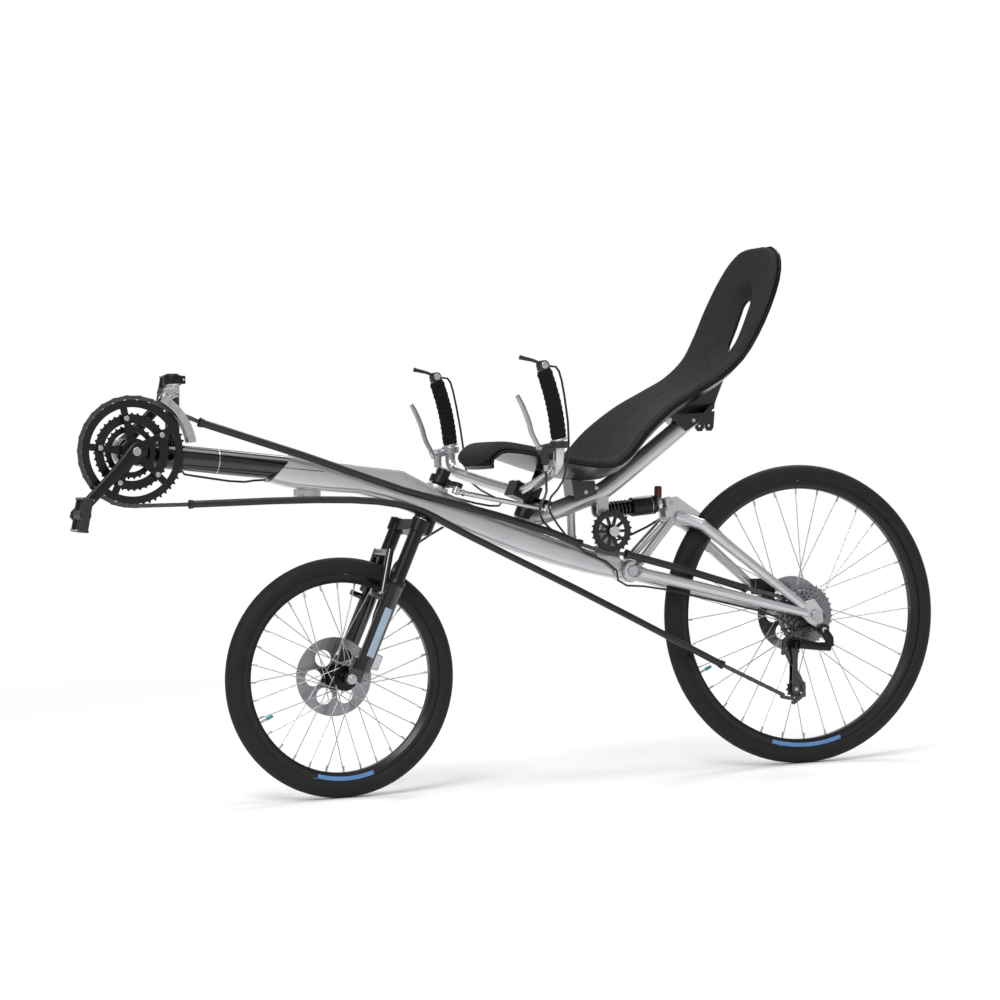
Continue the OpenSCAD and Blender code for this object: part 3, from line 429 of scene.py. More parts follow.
beam = loft([[(top + low) / 2 + (top - low) / 2 * power(math.sin(a), 0.42)
              + vec(0, BEAM_W / 2 * power(math.cos(a), 0.42), 0)
              for a in (2 * math.pi * (k + 0.5) / 32 for k in range(32))] for top, low in sections])
head_r = 0.021
head = merged(rod(race, race + 0.064 * AXIS_UP, head_r, sides=48),
              lathe([(0.018, 0.0), (0.0232, 0.0), (0.0236, 0.003), (0.0232, 0.008), (0.018, 0.008)],
                    race + 0.0005 * AXIS_UP, AXIS_UP),
              lathe([(0.018, 0.0), (0.0232, 0.0), (0.0236, 0.005), (0.0232, 0.008), (0.018, 0.008)],
                    race + 0.0555 * AXIS_UP, AXIS_UP))
seat_tube = smoothed([hips + vec(-0.166, 0, -0.092), hips + vec(0.010, 0, -0.038),
                      hips + vec(0.050, 0, -0.017), hips + vec(0.258, 0, 0.132)], 3)
SEAT_TUBE_R = 0.019
strut_x = hips.x - 0.045
strut = [vec(strut_x, 0, along_tail(0.7).z + 0.02), vec(strut_x, 0, hips.z - 0.062)]
shock_front = hips + vec(0.021, 0, -0.070)
shock_rear = rear_axle + vec(-0.304, 0, 0.248)


def plate(points, y0, y1):
    """A flat plate in the bicycle's middle plane, from (x, z) points, between two side positions."""
    n = len(points)
    verts = [vec(x, y, z) for y in (y0, y1) for x, z in points]
    faces = [[k, (k + 1) % n, (k + 1) % n + n, k + n] for k in range(n)]
    return verts, faces + [list(range(n))[::-1], list(range(n, 2 * n))]


ears = mirrored(plate([(shock_front.x + x * MM, shock_front.z + z * MM)
                       for x, z in ((-14, 26), (-13, -4), (-8, -12), (0, -15), (8, -12), (13, -4), (14, 32))],
                      0.0122, 0.0168))
upright = plate([(idler_axis.x + x * MM, idler_axis.z + z * MM)
                 for x, z in ((-24, -62), (-14, 4), (-10, 11), (0, 14), (10, 11), (15, 4), (34, -70))],
                -0.0248, -0.0152)
pivot_lug = rod(pivot - vec(0, 0.0248, 0), pivot + vec(0, 0.0248, 0), 0.024, sides=48)
build("main_beam", beam, silver_paint, "frame", ["main_frame"], sharp=50)
build("head_tube", head, silver_paint, "frame", bevel=0.0006)
build("seat_tube", tube(seat_tube, SEAT_TUBE_R, 40), silver_paint, "frame", bevel=0.0008)
build("frame_strut", rod(*strut, 0.009), silver_paint, "frame")
build("frame_lugs", merged(ears, upright, pivot_lug), silver_paint, "frame", bevel=0.0012)


def weld(centre, axis, radius, count, size=0.0026):
    """A bead of overlapping drops round a tube, as a torch leaves it."""
    axis = Vector(axis).normalized()
    u = axis.orthogonal().normalized()
    w = axis.cross(u)
    drops = []
    for k in range(count):
        a = 2 * math.pi * k / count
        out = math.cos(a) * u + math.sin(a) * w
        drops.append(lathe([(0.0, -0.0014), (size, -0.0006), (size * 1.05, 0.0006), (0.0, 0.0014)],
                           Vector(centre) + radius * out, out, 8, whole=False))
    return merged(*drops)


tube_low = (seat_tube[1] - seat_tube[0]).normalized()
beads = merged(weld(seat_tube[0] + 0.030 * tube_low, tube_low, 0.0192, 30),
               weld(strut[0] + vec(0, 0, 0.012), (0, 0, 1), 0.0095, 18, 0.002),
               weld(strut[1] - vec(0, 0, 0.004), (0.3, 0, 1), 0.0095, 18, 0.002))
build("frame_welds", beads, silver_paint, "frame")

# Cast boom clamp under the nose: two ears drawn together by two socket screws.
# Turned steel: bright, with faint wiping marks.
steel = finish("stainless_steel", "B4B6B8", 0.25, ("A6A8AB", "C2C4C6", 0.01), dull=(0.18, 0.36, 0.004),
               metallic=1.0)
under = (sections[1][1] + sections[2][1]) / 2
clamp_ears = mirrored(block(under + vec(0, 0.0055, -0.007), (0.052, 0.007, 0.018)))
screws = merged(*[rod(under + vec(x, -0.0125, -0.009), under + vec(x, 0.0125, -0.009), 0.0036)
                  for x in (-0.015, 0.015)])
build("boom_clamp", clamp_ears, silver_paint, "frame", bevel=0.0016)
build("boom_clamp_screws", screws, steel, "frame", bevel=0.0005)

# ---- Boom, bottom bracket and front derailleur ----
# A black lacquered boom slides into the frame's nose and ends in the crank's bearing shell. A short
# post stands on it for the front derailleur, whose cage straddles the big ring.
# Deep black with hardly any drift; slight orange peel in the lacquer.
black_paint = finish("black_lacquer", "060607", 0.16, ("050506", "09090A", 0.08), (0.002, 0.00002), coat=0.8,
                     specular=0.35)
# Anodised: satin, a little uneven.
black_alloy = finish("black_anodised_alloy", "0A0A0B", 0.34, ("080809", "0E0E10", 0.012),
                     dull=(0.28, 0.42, 0.006), metallic=0.25, specular=0.4)
# Bright metal with faint wiping marks.
alloy = finish("polished_alloy", "C4C6C8", 0.2, ("B8BABD", "CED0D2", 0.02), dull=(0.12, 0.3, 0.01),
               metallic=1.0)
boom_tail = race + vec(-0.224, 0, 0.096)
along_boom = (crank_axis - boom_tail).normalized()
BOOM_R = 0.025
build("boom_tube", merged(tube([boom_tail, crank_axis - 0.024 * along_boom], BOOM_R, 48),
                          lathe([(0.0125, -0.034), (0.0262, -0.034), (0.027, -0.0325), (0.027, 0.0325),
                                 (0.0262, 0.034), (0.0125, 0.034)], crank_axis)),
      black_paint, "frame", ["boom"], bevel=0.0005)
ring_line = crank_axis + (boom_tail - crank_axis) * 0.46
build("boom_mark", lathe([(0.0249, -0.0008), (0.0253, -0.0008), (0.0253, 0.0008), (0.0249, 0.0008)],
                         ring_line, along_boom), alloy, "frame")
for s in (-1, 1):
    build("bearing_cup_" + ("left" if s < 0 else "right"),
          lathe([(0.0128, s * 0.0335), (0.0225, s * 0.0335), (0.0225, s * 0.0365), (0.0205, s * 0.0375),
                 (0.0128, s * 0.0375)], crank_axis, steps=32), black_alloy, "frame")
post_foot = crank_axis.lerp(boom_tail, 0.24) + vec(0, 0, 0.023)
post_top = post_foot + vec(0.004, 0, 0.138)
carry("derailleur_post", black_paint)
build("post_cap", rod(post_top, post_top + vec(0, 0, 0.003), 0.0138, 0.012), black_alloy, "frame",
      bevel=0.0006)
clamp_at = post_foot.lerp(post_top, 0.93)
RING_R = 52 * 0.0127 / (2 * math.pi)


def arc_plate(centre, r0, r1, a0, a1, y0, y1, steps=20):
    """A curved flat strip about an axle along Y."""
    rings = []
    for k in range(steps + 1):
        a = math.radians(a0 + (a1 - a0) * k / steps)
        out = ray(a)
        rings.append([flat(centre) + r * out + y * Y for r, y in ((r0, y0), (r1, y0), (r1, y1), (r0, y1))])
    return loft(rings)


link = post_foot.lerp(post_top, 0.86)
cage = merged(arc_plate(crank_axis, RING_R + 0.006, RING_R + 0.021, 7, 60, -0.0682, -0.0668),
              arc_plate(crank_axis, RING_R + 0.006, RING_R + 0.019, 7, 60, -0.0432, -0.0418),
              arc_plate(crank_axis, RING_R + 0.0196, RING_R + 0.0208, 54, 60, -0.0675, -0.0425, 4),
              arc_plate(crank_axis, RING_R + 0.0186, RING_R + 0.0198, 7, 11, -0.0675, -0.0425, 4))
arms = merged(block(link + vec(-0.006, -0.026, -0.012), (0.022, 0.016, 0.026)),
              block(link + vec(-0.018, -0.040, -0.016), (0.020, 0.014, 0.018)),
              rod(link + vec(-0.016, -0.030, -0.010), link + vec(-0.034, -0.052, -0.024), 0.0055),
              rod(link + vec(0.002, -0.030, -0.018), link + vec(-0.030, -0.054, -0.030), 0.0045),
              rod(link + vec(-0.004, -0.018, -0.006), link + vec(-0.004, -0.036, -0.006), 0.006))
build("derailleur_cage", merged(cage, arms), alloy, "frame", ["front_derailleur"], bevel=0.0008)
build("derailleur_clamp", merged(lathe([(0.0147, -0.010), (0.0176, -0.010), (0.0182, -0.008), (0.0182, 0.008),
                                        (0.0176, 0.010), (0.0147, 0.010)], clamp_at, post_top - post_foot),
                                 block(clamp_at + vec(0.021, 0, 0), (0.010, 0.012, 0.016))),
      black_alloy, "frame", bevel=0.0006)
build("clamp_screw", rod(clamp_at + vec(0.021, -0.010, 0), clamp_at + vec(0.021, 0.010, 0), 0.0026),
      steel, "frame", bevel=0.0004)

# ---- Swingarm and shock ----
# The silver swingarm turns on a bolt under the seat. Its two triangles end in dropout plates, and the
# coil shock stands between its cheeks and the main frame.
carry("swingarm", silver_paint, 0.0012, sharp=28)
carry("suspension_bolts", steel, 0.0006)
down = (shock_rear - shock_front).normalized()


def along_shock(f):
    return shock_front + f * MM * down


body_black = merged(rod(shock_front - 0.0117 * Y, shock_front + 0.0117 * Y, 0.009),
                    rod(shock_rear - 0.0117 * Y, shock_rear + 0.0117 * Y, 0.009),
                    rod(along_shock(6), along_shock(74), 0.0115, sides=32))
shape = [(0.004, 70), (0.0185, 70), (0.020, 72), (0.020, 112), (0.0192, 114), (0.0192, 116), (0.0198, 118),
         (0.0198, 124), (0.018, 126), (0.004, 126)]
can = lathe([(r, d * MM) for r, d in shape], shock_front, down, 40)
coil = tube([along_shock(16 + 50 * k / 96) + 0.0148 * (math.cos(k * math.pi / 8) * Y + math.sin(k * math.pi / 8)
             * down.cross(Y)) for k in range(97)], 0.0026, 10)
build("shock_body", merged(body_black, can), black_alloy, "frame", ["shock_absorber"],
      bevel=0.0005)
build("shock_spring", coil, black_paint, "frame")
build("shock_bands", merged(lathe([(0.0120, 0.129), (0.0168, 0.129), (0.0168, 0.137), (0.0120, 0.137)],
                                  shock_front, down),
                            lathe([(0.0190, 0.1145), (0.0197, 0.1145), (0.0197, 0.1158), (0.0190, 0.1158)],
                                  shock_front, down)), alloy, "frame", bevel=0.0004)
# Dyed metal, darker where it is worn.
red_alloy = finish("red_brown_anodised_knob", "5A2A26", 0.4, ("4E2320", "653330", 0.004), metallic=0.5)
knob_at = shock_rear + vec(-0.021, 0, 0.010)
build("shock_knob", lathe([(0.0, 0.0), (0.0065, 0.0), (0.008, 0.003), (0.008, 0.022), (0.0065, 0.026),
                           (0.0, 0.026)],
                          knob_at, (0.05, 0, 1), 20, whole=False), red_alloy, "frame",
      bevel=0.0004)

# ---- Fork ----
# A black telescopic fork: crown and stanchions above, sliders with an arch over the tyre below. Its
# steerer carries the arm that the tie rod pulls.
def in_fork(x, y, z):
    """A point from (back, side, up) in millimetres along the steering axis."""
    return race + (x * AXIS_BACK + z * AXIS_UP + y * Y) * MM


carry("fork_crown", black_alloy, 0.0010)
# Thick gloss paint over magnesium castings.
fork_gloss = finish("gloss_black_slider", "070708", 0.12, ("060607", "0B0B0C", 0.05), coat=0.9, specular=0.4)
carry("fork_lowers", fork_gloss, 0.0016, sharp=28)
seals, fork_caps = [], []
for s in (-1, 1):
    seals.append(lathe([(0.0142, 0.0), (0.0178, 0.0), (0.0185, 0.003), (0.0185, 0.010), (0.0165, 0.013),
                        (0.0142, 0.013)], in_fork(-29, s * 62, -166), AXIS_UP, 32))
    fork_caps.append(rod(in_fork(-29, s * 62, -22), in_fork(-29, s * 62, -19), 0.0105))
build("fork_seals", merged(*seals), black_alloy, "fork")
build("fork_caps", merged(*fork_caps), alloy, "fork", bevel=0.0005)
# Printed stripe with no lettering.
pale_blue = finish("pale_blue_grey_stripe", "8FA3B4", 0.35, ("8599AB", "9DB0BF", 0.02), coat=0.4)
stripe = []
for s in (-1, 1):
    strip_v = [in_fork(-29, s * 62, z) + r * (math.cos(a) * s * Y - math.sin(a) * AXIS_BACK)
               for z in (-318, -214) for r in (0.0168, 0.0172)
               for a in (math.radians(d) for d in range(-26, 27, 4))]
    n = 14
    strip_f = [[n + k, n + k + 1, 3 * n + k + 1, 3 * n + k] for k in range(n - 1)]
    strip_f += [[k, 2 * n + k, 2 * n + k + 1, k + 1] for k in range(n - 1)]
    strip_f += [[0, n, 3 * n, 2 * n], [n - 1, 3 * n - 1, 4 * n - 1, 2 * n - 1]]
    strip_f += [[k, k + 1, n + k + 1, n + k] for k in range(n - 1)]
    strip_f += [[2 * n + k, 3 * n + k, 3 * n + k + 1, 2 * n + k + 1] for k in range(n - 1)]
    stripe.append((strip_v, strip_f))
build("fork_stripes", merged(*stripe), pale_blue, "fork")
carry("steering_arm", black_alloy, 0.0010)
cap_at = race + 0.102 * AXIS_UP
build("steerer_nut", lathe([(0.0112, -0.002), (0.0150, -0.002), (0.0156, 0.000), (0.0150, 0.002),
                            (0.0112, 0.002)],
                           cap_at - 0.001 * AXIS_UP, AXIS_UP, 6), steel, "fork", bevel=0.0004)
carry("front_axle", steel, 0.0008)

# ---- Wheels ----
# Two spoked wheels with fat road tyres, black rims and disc brakes. Tread blocks and nipples repeat round
# each wheel, so Geometry Nodes set them out from one unit.
def set_out(name, inputs, placing):
    """Copies of a unit set out by Geometry Nodes, as (vertices, faces). inputs are (label, kind, value);
    placing adds the nodes that say where the copies go, and returns their points and turns."""
    group = bpy.data.node_groups.new(name, "GeometryNodeTree")
    group.interface.new_socket("Geometry", in_out="OUTPUT", socket_type="NodeSocketGeometry")
    wanted = {}
    for label, kind, value in inputs:
        made = group.interface.new_socket(label, in_out="INPUT", socket_type="NodeSocket" + kind)
        wanted[made.identifier] = value
    given = add(group, "NodeGroupInput").outputs
    points, turns = placing(group, given)
    shown = add(group, "GeometryNodeObjectInfo", None, {"Object": given["Unit"]})
    copies = add(group, "GeometryNodeInstanceOnPoints", None,
                 {"Points": points, "Instance": shown.outputs["Geometry"], "Rotation": turns})
    real = add(group, "GeometryNodeRealizeInstances", None, {"Geometry": copies.outputs[0]})
    dressed = add(group, "GeometryNodeSetMaterial", None,
                  {"Geometry": real.outputs[0], "Material": given["Material"]})
    add(group, "NodeGroupOutput", None, {"Geometry": dressed.outputs[0]})
    host = mesh_object("host", [], [])
    run = host.modifiers.new("nodes", "NODES")
    run.node_group = group
    for identifier, value in wanted.items():
        run[identifier] = value
    bpy.context.view_layer.update()
    mesh = bpy.data.meshes.new_from_object(host.evaluated_get(bpy.context.evaluated_depsgraph_get()))
    shape = [v.co.copy() for v in mesh.vertices], [list(f.vertices) for f in mesh.polygons]
    host.modifiers.remove(run)
    for spent in (host, *(value for label, kind, value in inputs if kind == "Object")):
        bpy.data.objects.remove(spent)
    bpy.data.meshes.remove(mesh)
    return shape


def round_axle(group, given):
    """All at the origin, each a step further round Y."""
    line = add(group, "GeometryNodeMeshLine", None, {"Count": given["Count"], "Offset": (0, 0, 0)})
    step = add(group, "ShaderNodeMath", {"operation": "DIVIDE"}, {0: 2 * math.pi, 1: given["Count"]})
    angle = add(group, "ShaderNodeMath", {"operation": "MULTIPLY"},
                {0: add(group, "GeometryNodeInputIndex").outputs[0], 1: step.outputs[0]})
    return line.outputs[0], add(group, "ShaderNodeCombineXYZ", None, {"Y": angle.outputs[0]}).outputs[0]


def axle_ring(name, shape, count, material):
    """Copies of a shape, built round the origin, turned about Y."""
    return set_out(name, (("Unit", "Object", mesh_object("unit", *shape)), ("Count", "Int", count),
                          ("Material", "Material", material)), round_axle)


# Matte rubber, dusty here and there; moulded skin.
rubber = finish("tyre_rubber", "161617", 0.72, ("111112", "1D1D1E", 0.03), (0.0012, 0.00008), specular=0.3)
# The running face is scuffed a shade lighter.
tread_rubber = finish("tread_rubber", "1C1C1D", 0.85, ("171718", "262627", 0.01), specular=0.2)
# Anodised rim.
rim_black = finish("rim_black_anodised", "0D0D0E", 0.3, ("0A0A0B", "131315", 0.03), metallic=0.3)
# Ground steel, swept by the pads.
rotor_steel = finish("rotor_steel", "8E9093", 0.28, ("7C7E81", "A0A2A5", 0.004, (1, 8, 1)), metallic=1.0)
# Plain printed arc.
decal_blue = finish("rim_decal_blue", "4E7FB5", 0.4, ("4676AC", "5788BD", 0.02), coat=0.3)
# Moulded plastic.
teal_cap = finish("teal_valve_cap", "1F8C8C", 0.4, ("1B8080", "259898", 0.004))
TYRE_HALF = 0.020
VALVE_AT = 205             # the valves' place round the wheel, in degrees
RIM_SIDE = 0.01215         # from the middle to the rim's side face
DECAL_SPAN = (-107, -73)   # the decal's arc at the foot of the rim, in degrees


def tread_unit(r):
    """One pitch of the tread: two centre blocks and a swept shoulder block each side."""
    shapes = []
    crown = r - TYRE_HALF

    def patch(y0, y1, x0, x1, lift):
        cells = []
        for high in (TYRE_HALF - 0.0008, TYRE_HALF - 0.0001 + lift):
            for x, a0, a1 in ((x0, y0, y1), (x1, y0 + 5, y1 + 5)):
                for a in (a0, (a0 + a1) / 2, a1):
                    angle = math.radians(a)
                    out = crown + high * math.cos(angle)
                    cells.append(vec(x, high * math.sin(angle), math.sqrt(out * out - x * x)))
        faces = [(6, 7, 10, 9), (7, 8, 11, 10), (0, 3, 4, 1), (1, 4, 5, 2), (0, 1, 7, 6), (1, 2, 8, 7),
                 (3, 9, 10, 4), (4, 10, 11, 5), (0, 6, 9, 3), (2, 5, 11, 8)]
        shapes.append((cells, faces))

    for s in (-1, 1):
        for a0, a1, x0, x1 in ((3, 17, -0.0065, 0.0010), (21, 38, -0.0030, 0.0055),
                               (43, 58, -0.0060, 0.0030)):
            low, high = (a0, a1) if s > 0 else (-a1 - 5, -a0 - 5)
            patch(low, high, x0, x1, 0.0)
    return merged(*shapes)


def nipple_unit(seat_r):
    return tube([vec(0, 0, seat_r - 0.013), vec(0, 0, seat_r - 0.011), vec(0, 0, seat_r + 0.0008)],
                [0.0014, 0.0020, 0.0021], 8)


# Each wheel: its axle, outer radius and the number of tread pitches.
for which, centre, r, blocks in (("front", front_axle, 0.2415, 118), ("rear", rear_axle, 0.318, 156)):
    wheel = which + "_wheel"
    at = Matrix.Translation(centre)
    seat = r - 1.68 * TYRE_HALF - 0.0003
    carry(which + "_tyre", rubber, 0)
    build(which + "_tread", moved(axle_ring(which + "_tread_nodes", tread_unit(r), blocks,
                                            tread_rubber), at), tread_rubber, wheel, sharp=20)
    carry(which + "_rim", rim_black, 0)
    carry(which + "_spokes", steel, 0)
    build(which + "_nipples", moved(axle_ring(which + "_nipple_nodes", nipple_unit(seat - 0.017),
                                              32, steel), at), steel, wheel)
    carry(which + "_hub", black_alloy, 0.0006)
    carry(which + "_rotor", rotor_steel, 0.0002)
    arms = []
    for k in range(6):
        a = math.radians(60 * k + 30)
        arms.append(rod(centre + vec(0.020 * math.cos(a), 0.0385, 0.020 * math.sin(a)),
                        centre + vec(0.020 * math.cos(a), 0.0425, 0.020 * math.sin(a)), 0.0032, sides=6))
    build(which + "_rotor_bolts", merged(*arms), steel, wheel, bevel=0.0003)
    bands = [arc_plate(centre, seat - 0.0098, seat - 0.0012, *DECAL_SPAN, s * RIM_SIDE - 0.0001,
                       s * RIM_SIDE + 0.0001) for s in (-1, 1)]
    build(which + "_rim_decals", merged(*bands), decal_blue, wheel)
    valve_out = ray(math.radians(VALVE_AT))
    build(which + "_valve", rod(centre + (seat - 0.016) * valve_out, centre + (seat - 0.034) * valve_out,
                                0.0026),
          steel, wheel, bevel=0.0003)
    build(which + "_valve_cap", rod(centre + (seat - 0.033) * valve_out, centre + (seat - 0.047) * valve_out,
                                    0.0038,
                                    0.0030), teal_cap, wheel, bevel=0.0005)
carry("rear_axle", steel, 0.0006)

# ---- Cassette, cranks, chainrings and pedals ----
# Toothed wheels are cut from flat plate: a tooth line outside, a bored or open middle. The black
# five-arm crank carries three black rings, and platform pedals turn at its ends.
def toothed(centre, teeth, root, tip, bore, y0, y1, start=0.0):
    """A flat ring with pointed teeth outside and a round hole inside."""
    rings = []
    for k in range(teeth):
        for part, r in ((0.0, root), (0.25, root), (0.42, tip), (0.58, tip), (0.75, root)):
            a = 2 * math.pi * (k + part) / teeth + start
            out = ray(a)
            rings.append([flat(centre) + d * out + y * Y
                          for d, y in ((bore, y0), (r, y0), (r, y1), (bore, y1))])
    return loft(rings, closed=True)


# Plated steel, darker at the teeth.
cog_steel = finish("cog_steel", "76787B", 0.32, ("626467", "8C8E91", 0.006), (0.003, 0.00002), metallic=1.0)
cogs, spacers = [], []
for i, (teeth, r) in enumerate(((11, 0.0179), (13, 0.024), (15, 0.028), (18, 0.033), (21, 0.039), (24, 0.046),
                                (28, 0.055), (32, 0.066))):
    y = -0.054 + 0.0046 * i
    cogs.append(toothed(rear_axle, teeth, r - 0.0028, r + 0.0008, 0.0145 if i < 3 else r - 0.013, y - 0.0009,
                        y + 0.0009))
    spacers.append(lathe([(0.0105, y), (0.0160, y), (0.0160, y + 0.004), (0.0105, y + 0.004)], rear_axle))
    if i >= 3:
        for k in range(6):
            a = math.radians(60 * k + 10 * i)
            out = ray(a)
            spacers.append(block(rear_axle + (r / 2 + 0.002) * out + y * Y, (r - 0.012, 0.0015, 0.005),
                                 Matrix.Rotation(-a, 3, "Y")))
build("cassette_cogs", merged(*cogs), cog_steel, "rear_wheel", ["cassette"])
build("cassette_carrier", merged(*spacers), black_alloy, "rear_wheel")

CHAIN_Y = -0.054
# Anodised, rubbed by the chain.
ring_black = finish("chainring_black_alloy", "101011", 0.3, ("0B0B0C", "18181A", 0.01), metallic=0.35)
ARM_ANGLES = [-math.radians(72 * k + 44) for k in range(5)]
tabs = []
for a in ARM_ANGLES:
    out = ray(a)
    tabs.append(block(crank_axis + 0.072 * out + (CHAIN_Y + 0.0002) * Y, (0.034, 0.003, 0.014),
                      Matrix.Rotation(-a, 3, "Y")))
rings = [toothed(crank_axis, 52, RING_R - 0.0040, RING_R + 0.0005, 0.0865, -0.0555, -0.0528),
         toothed(crank_axis, 39, 0.0735, 0.0765, 0.0560, -0.0480, -0.0453),
         toothed(crank_axis, 28, 0.0500, 0.0535, 0.0390, -0.0405, -0.0378), *tabs]
build("chainring_set", merged(*rings), ring_black, "crankset", ["chainrings"], bevel=0.0003)
bolts, pins = [], []
for a in ARM_ANGLES:
    out = ray(a)
    bolts.append(rod(crank_axis + 0.066 * out - 0.0632 * Y, crank_axis + 0.066 * out - 0.046 * Y, 0.0052))
    pins.append(rod(crank_axis + 0.046 * out - 0.0475 * Y, crank_axis + 0.046 * out - 0.0379 * Y, 0.0045))
build("ring_bolts", merged(*bolts, *pins), steel, "crankset", bevel=0.0005)

CRANK_LENGTH = 0.170
crank_dir = vec(-0.125, 0, -0.121).normalized()
arms = []
for s in (-1, 1):
    tip = crank_axis - s * CRANK_LENGTH * crank_dir
    root = crank_axis
    side = crank_dir.cross(Y)
    y_mid = s * 0.079
    rings = []
    for f, half, thick in ((-0.10, 0.006, 0.0058), (-0.085, 0.0140, 0.0066), (-0.04, 0.0176, 0.0070),
                           (0.05, 0.0168, 0.0070), (0.2, 0.0128, 0.0066), (0.5, 0.0108, 0.0062),
                           (0.8, 0.0108, 0.0062), (0.93, 0.0128, 0.0066), (1.02, 0.0124, 0.0066),
                           (1.07, 0.0070, 0.0056)):
        mid = root.lerp(tip, f) + y_mid * Y
        rings.append([mid + half * power(math.cos(t), 0.6) * side + thick * power(math.sin(t), 0.6) * Y
                      for t in (2 * math.pi * k / 24 for k in range(24))])
    arms.append(loft(rings))
    arms.append(rod(root + s * 0.0352 * Y, root + s * 0.0730 * Y, 0.0119, sides=32))
spider = [lathe([(0.0125, -0.0725), (0.026, -0.0725), (0.026, -0.0590), (0.020, -0.0565), (0.0125, -0.0565)],
                crank_axis)]
for a in ARM_ANGLES:
    out = ray(a)
    across = out.cross(Y)
    spider.append(loft([[crank_axis + d * out + s * w * across + y * Y
                         for s, y in ((-1, -0.0618), (1, -0.0618), (1, -0.0568), (-1, -0.0568))]
                        for d, w in ((0.014, 0.011), (0.040, 0.0075), (0.062, 0.0065), (0.0715, 0.0055))]))
build("crank_arms", merged(*arms, *spider), black_alloy, "crankset", ["cranks"], bevel=0.0007)
caps = [rod(crank_axis + s * 0.0855 * Y, crank_axis + s * 0.0872 * Y, 0.0085) for s in (-1, 1)]
build("crank_bolts", merged(*caps), steel, "crankset", bevel=0.0006)

# Glass-filled plastic.
pedal_black = finish("pedal_nylon", "18181A", 0.5, ("131315", "1F1F21", 0.02), (0.0015, 0.00006))
for which, s in (("left", -1), ("right", 1)):
    joint = hub_of["pedal_" + which + "_spin"]
    tilt = Matrix.Rotation(math.radians(-78), 3, "Y")
    y0 = s * 0.090
    y1 = s * 0.151
    mid = flat(joint) + (y0 + y1) / 2 * Y
    cage = [rod(flat(joint) + s * 0.0865 * Y, flat(joint) + y1 * Y, 0.0068),
            rod(flat(joint) + (y0 + s * 0.004) * Y, flat(joint) + (y1 - s * 0.004) * Y, 0.0115)]
    for x, y, w, l, h in ((-0.0305, 0, 0.005, 0.060, 0.020), (0.0305, 0, 0.005, 0.060, 0.020),
                          (0, -0.028, 0.064, 0.006, 0.018), (0, 0.028, 0.064, 0.006, 0.018),
                          (0, 0, 0.058, 0.008, 0.012)):
        cage.append(block(mid + tilt @ vec(x, y, 0), (w, l, h), tilt))
    teeth = [rod(mid + tilt @ vec(x, y, 0.009), mid + tilt @ vec(x, y, 0.0128), 0.0016, sides=8)
             for x in (-0.0305, 0.0305) for y in (-0.022, -0.011, 0, 0.011, 0.022)]
    teeth += [rod(mid + tilt @ vec(x, y, -0.009), mid + tilt @ vec(x, y, -0.0128), 0.0016, sides=8)
              for x in (-0.0305, 0.0305) for y in (-0.022, -0.011, 0, 0.011, 0.022)]
    build("pedal_cage_" + which, merged(*cage), pedal_black, "pedal_" + which,
          ["pedal_" + which], bevel=0.0009)
    build("pedal_pins_" + which, merged(*teeth, rod(flat(joint) + s * 0.0722 * Y,
                                                    flat(joint) + s * 0.0868 * Y, 0.0066)),
          steel, "pedal_" + which)

# ---- Idler, chain and chain tubes ----
# A half-inch chain runs from the big ring over a spoked idler to the smallest cog, round two jockey
# wheels and back through the long lower tube. Geometry Nodes string pairs of links along its line.
# Machined nylon.
idler_black = finish("idler_black_nylon", "0C0C0D", 0.38, ("09090A", "121213", 0.01))
IDLER_R = 23 * 0.0127 / (2 * math.pi)
at_chain = idler_axis + CHAIN_Y * Y
wheel = [toothed(idler_axis, 23, IDLER_R - 0.0042, IDLER_R - 0.0003, IDLER_R - 0.0150, CHAIN_Y - 0.0014,
                 CHAIN_Y + 0.0014),
         lathe([(IDLER_R - 0.0160, -0.0038), (IDLER_R - 0.0050, -0.0038), (IDLER_R - 0.0050, 0.0038),
                (IDLER_R - 0.0160, 0.0038)], at_chain),
         lathe([(0.0061, -0.0040), (0.0130, -0.0040), (0.0130, 0.0040), (0.0061, 0.0040)], at_chain)]
for k in range(10):
    a = 2 * math.pi * k / 10
    out = ray(a)
    wheel.append(block(at_chain + (0.0125 + IDLER_R - 0.009) / 2 * out, (IDLER_R - 0.0205, 0.0058, 0.0062),
                       Matrix.Rotation(-a, 3, "Y")))
build("idler_wheel", merged(*wheel), idler_black, "chain_idler", ["chain_idler"],
      bevel=0.0004)
carry("idler_axle", alloy, 0.0008)


def arc_points(centre, r, a, b, n):
    return [vec(centre.x + r * math.cos(g), CHAIN_Y, centre.z + r * math.sin(g))
            for g in (math.radians(a + (b - a) * i / n) for i in range(n + 1))]


def touch(centre, r, p, hand):
    """Angle in degrees where a line from p touches the circle."""
    d = p - centre
    return math.degrees(math.atan2(d.z, d.x)) + hand * math.degrees(math.acos(r / math.hypot(d.x, d.z)))


def blended(a, b, rows):
    return [vec(a.x + (b.x - a.x) * f, CHAIN_Y, a.z + (b.z - a.z) * f + lift * MM) for f, lift in rows]


def off(p, x, z):
    return vec(p.x + x * MM, CHAIN_Y, p.z + z * MM)


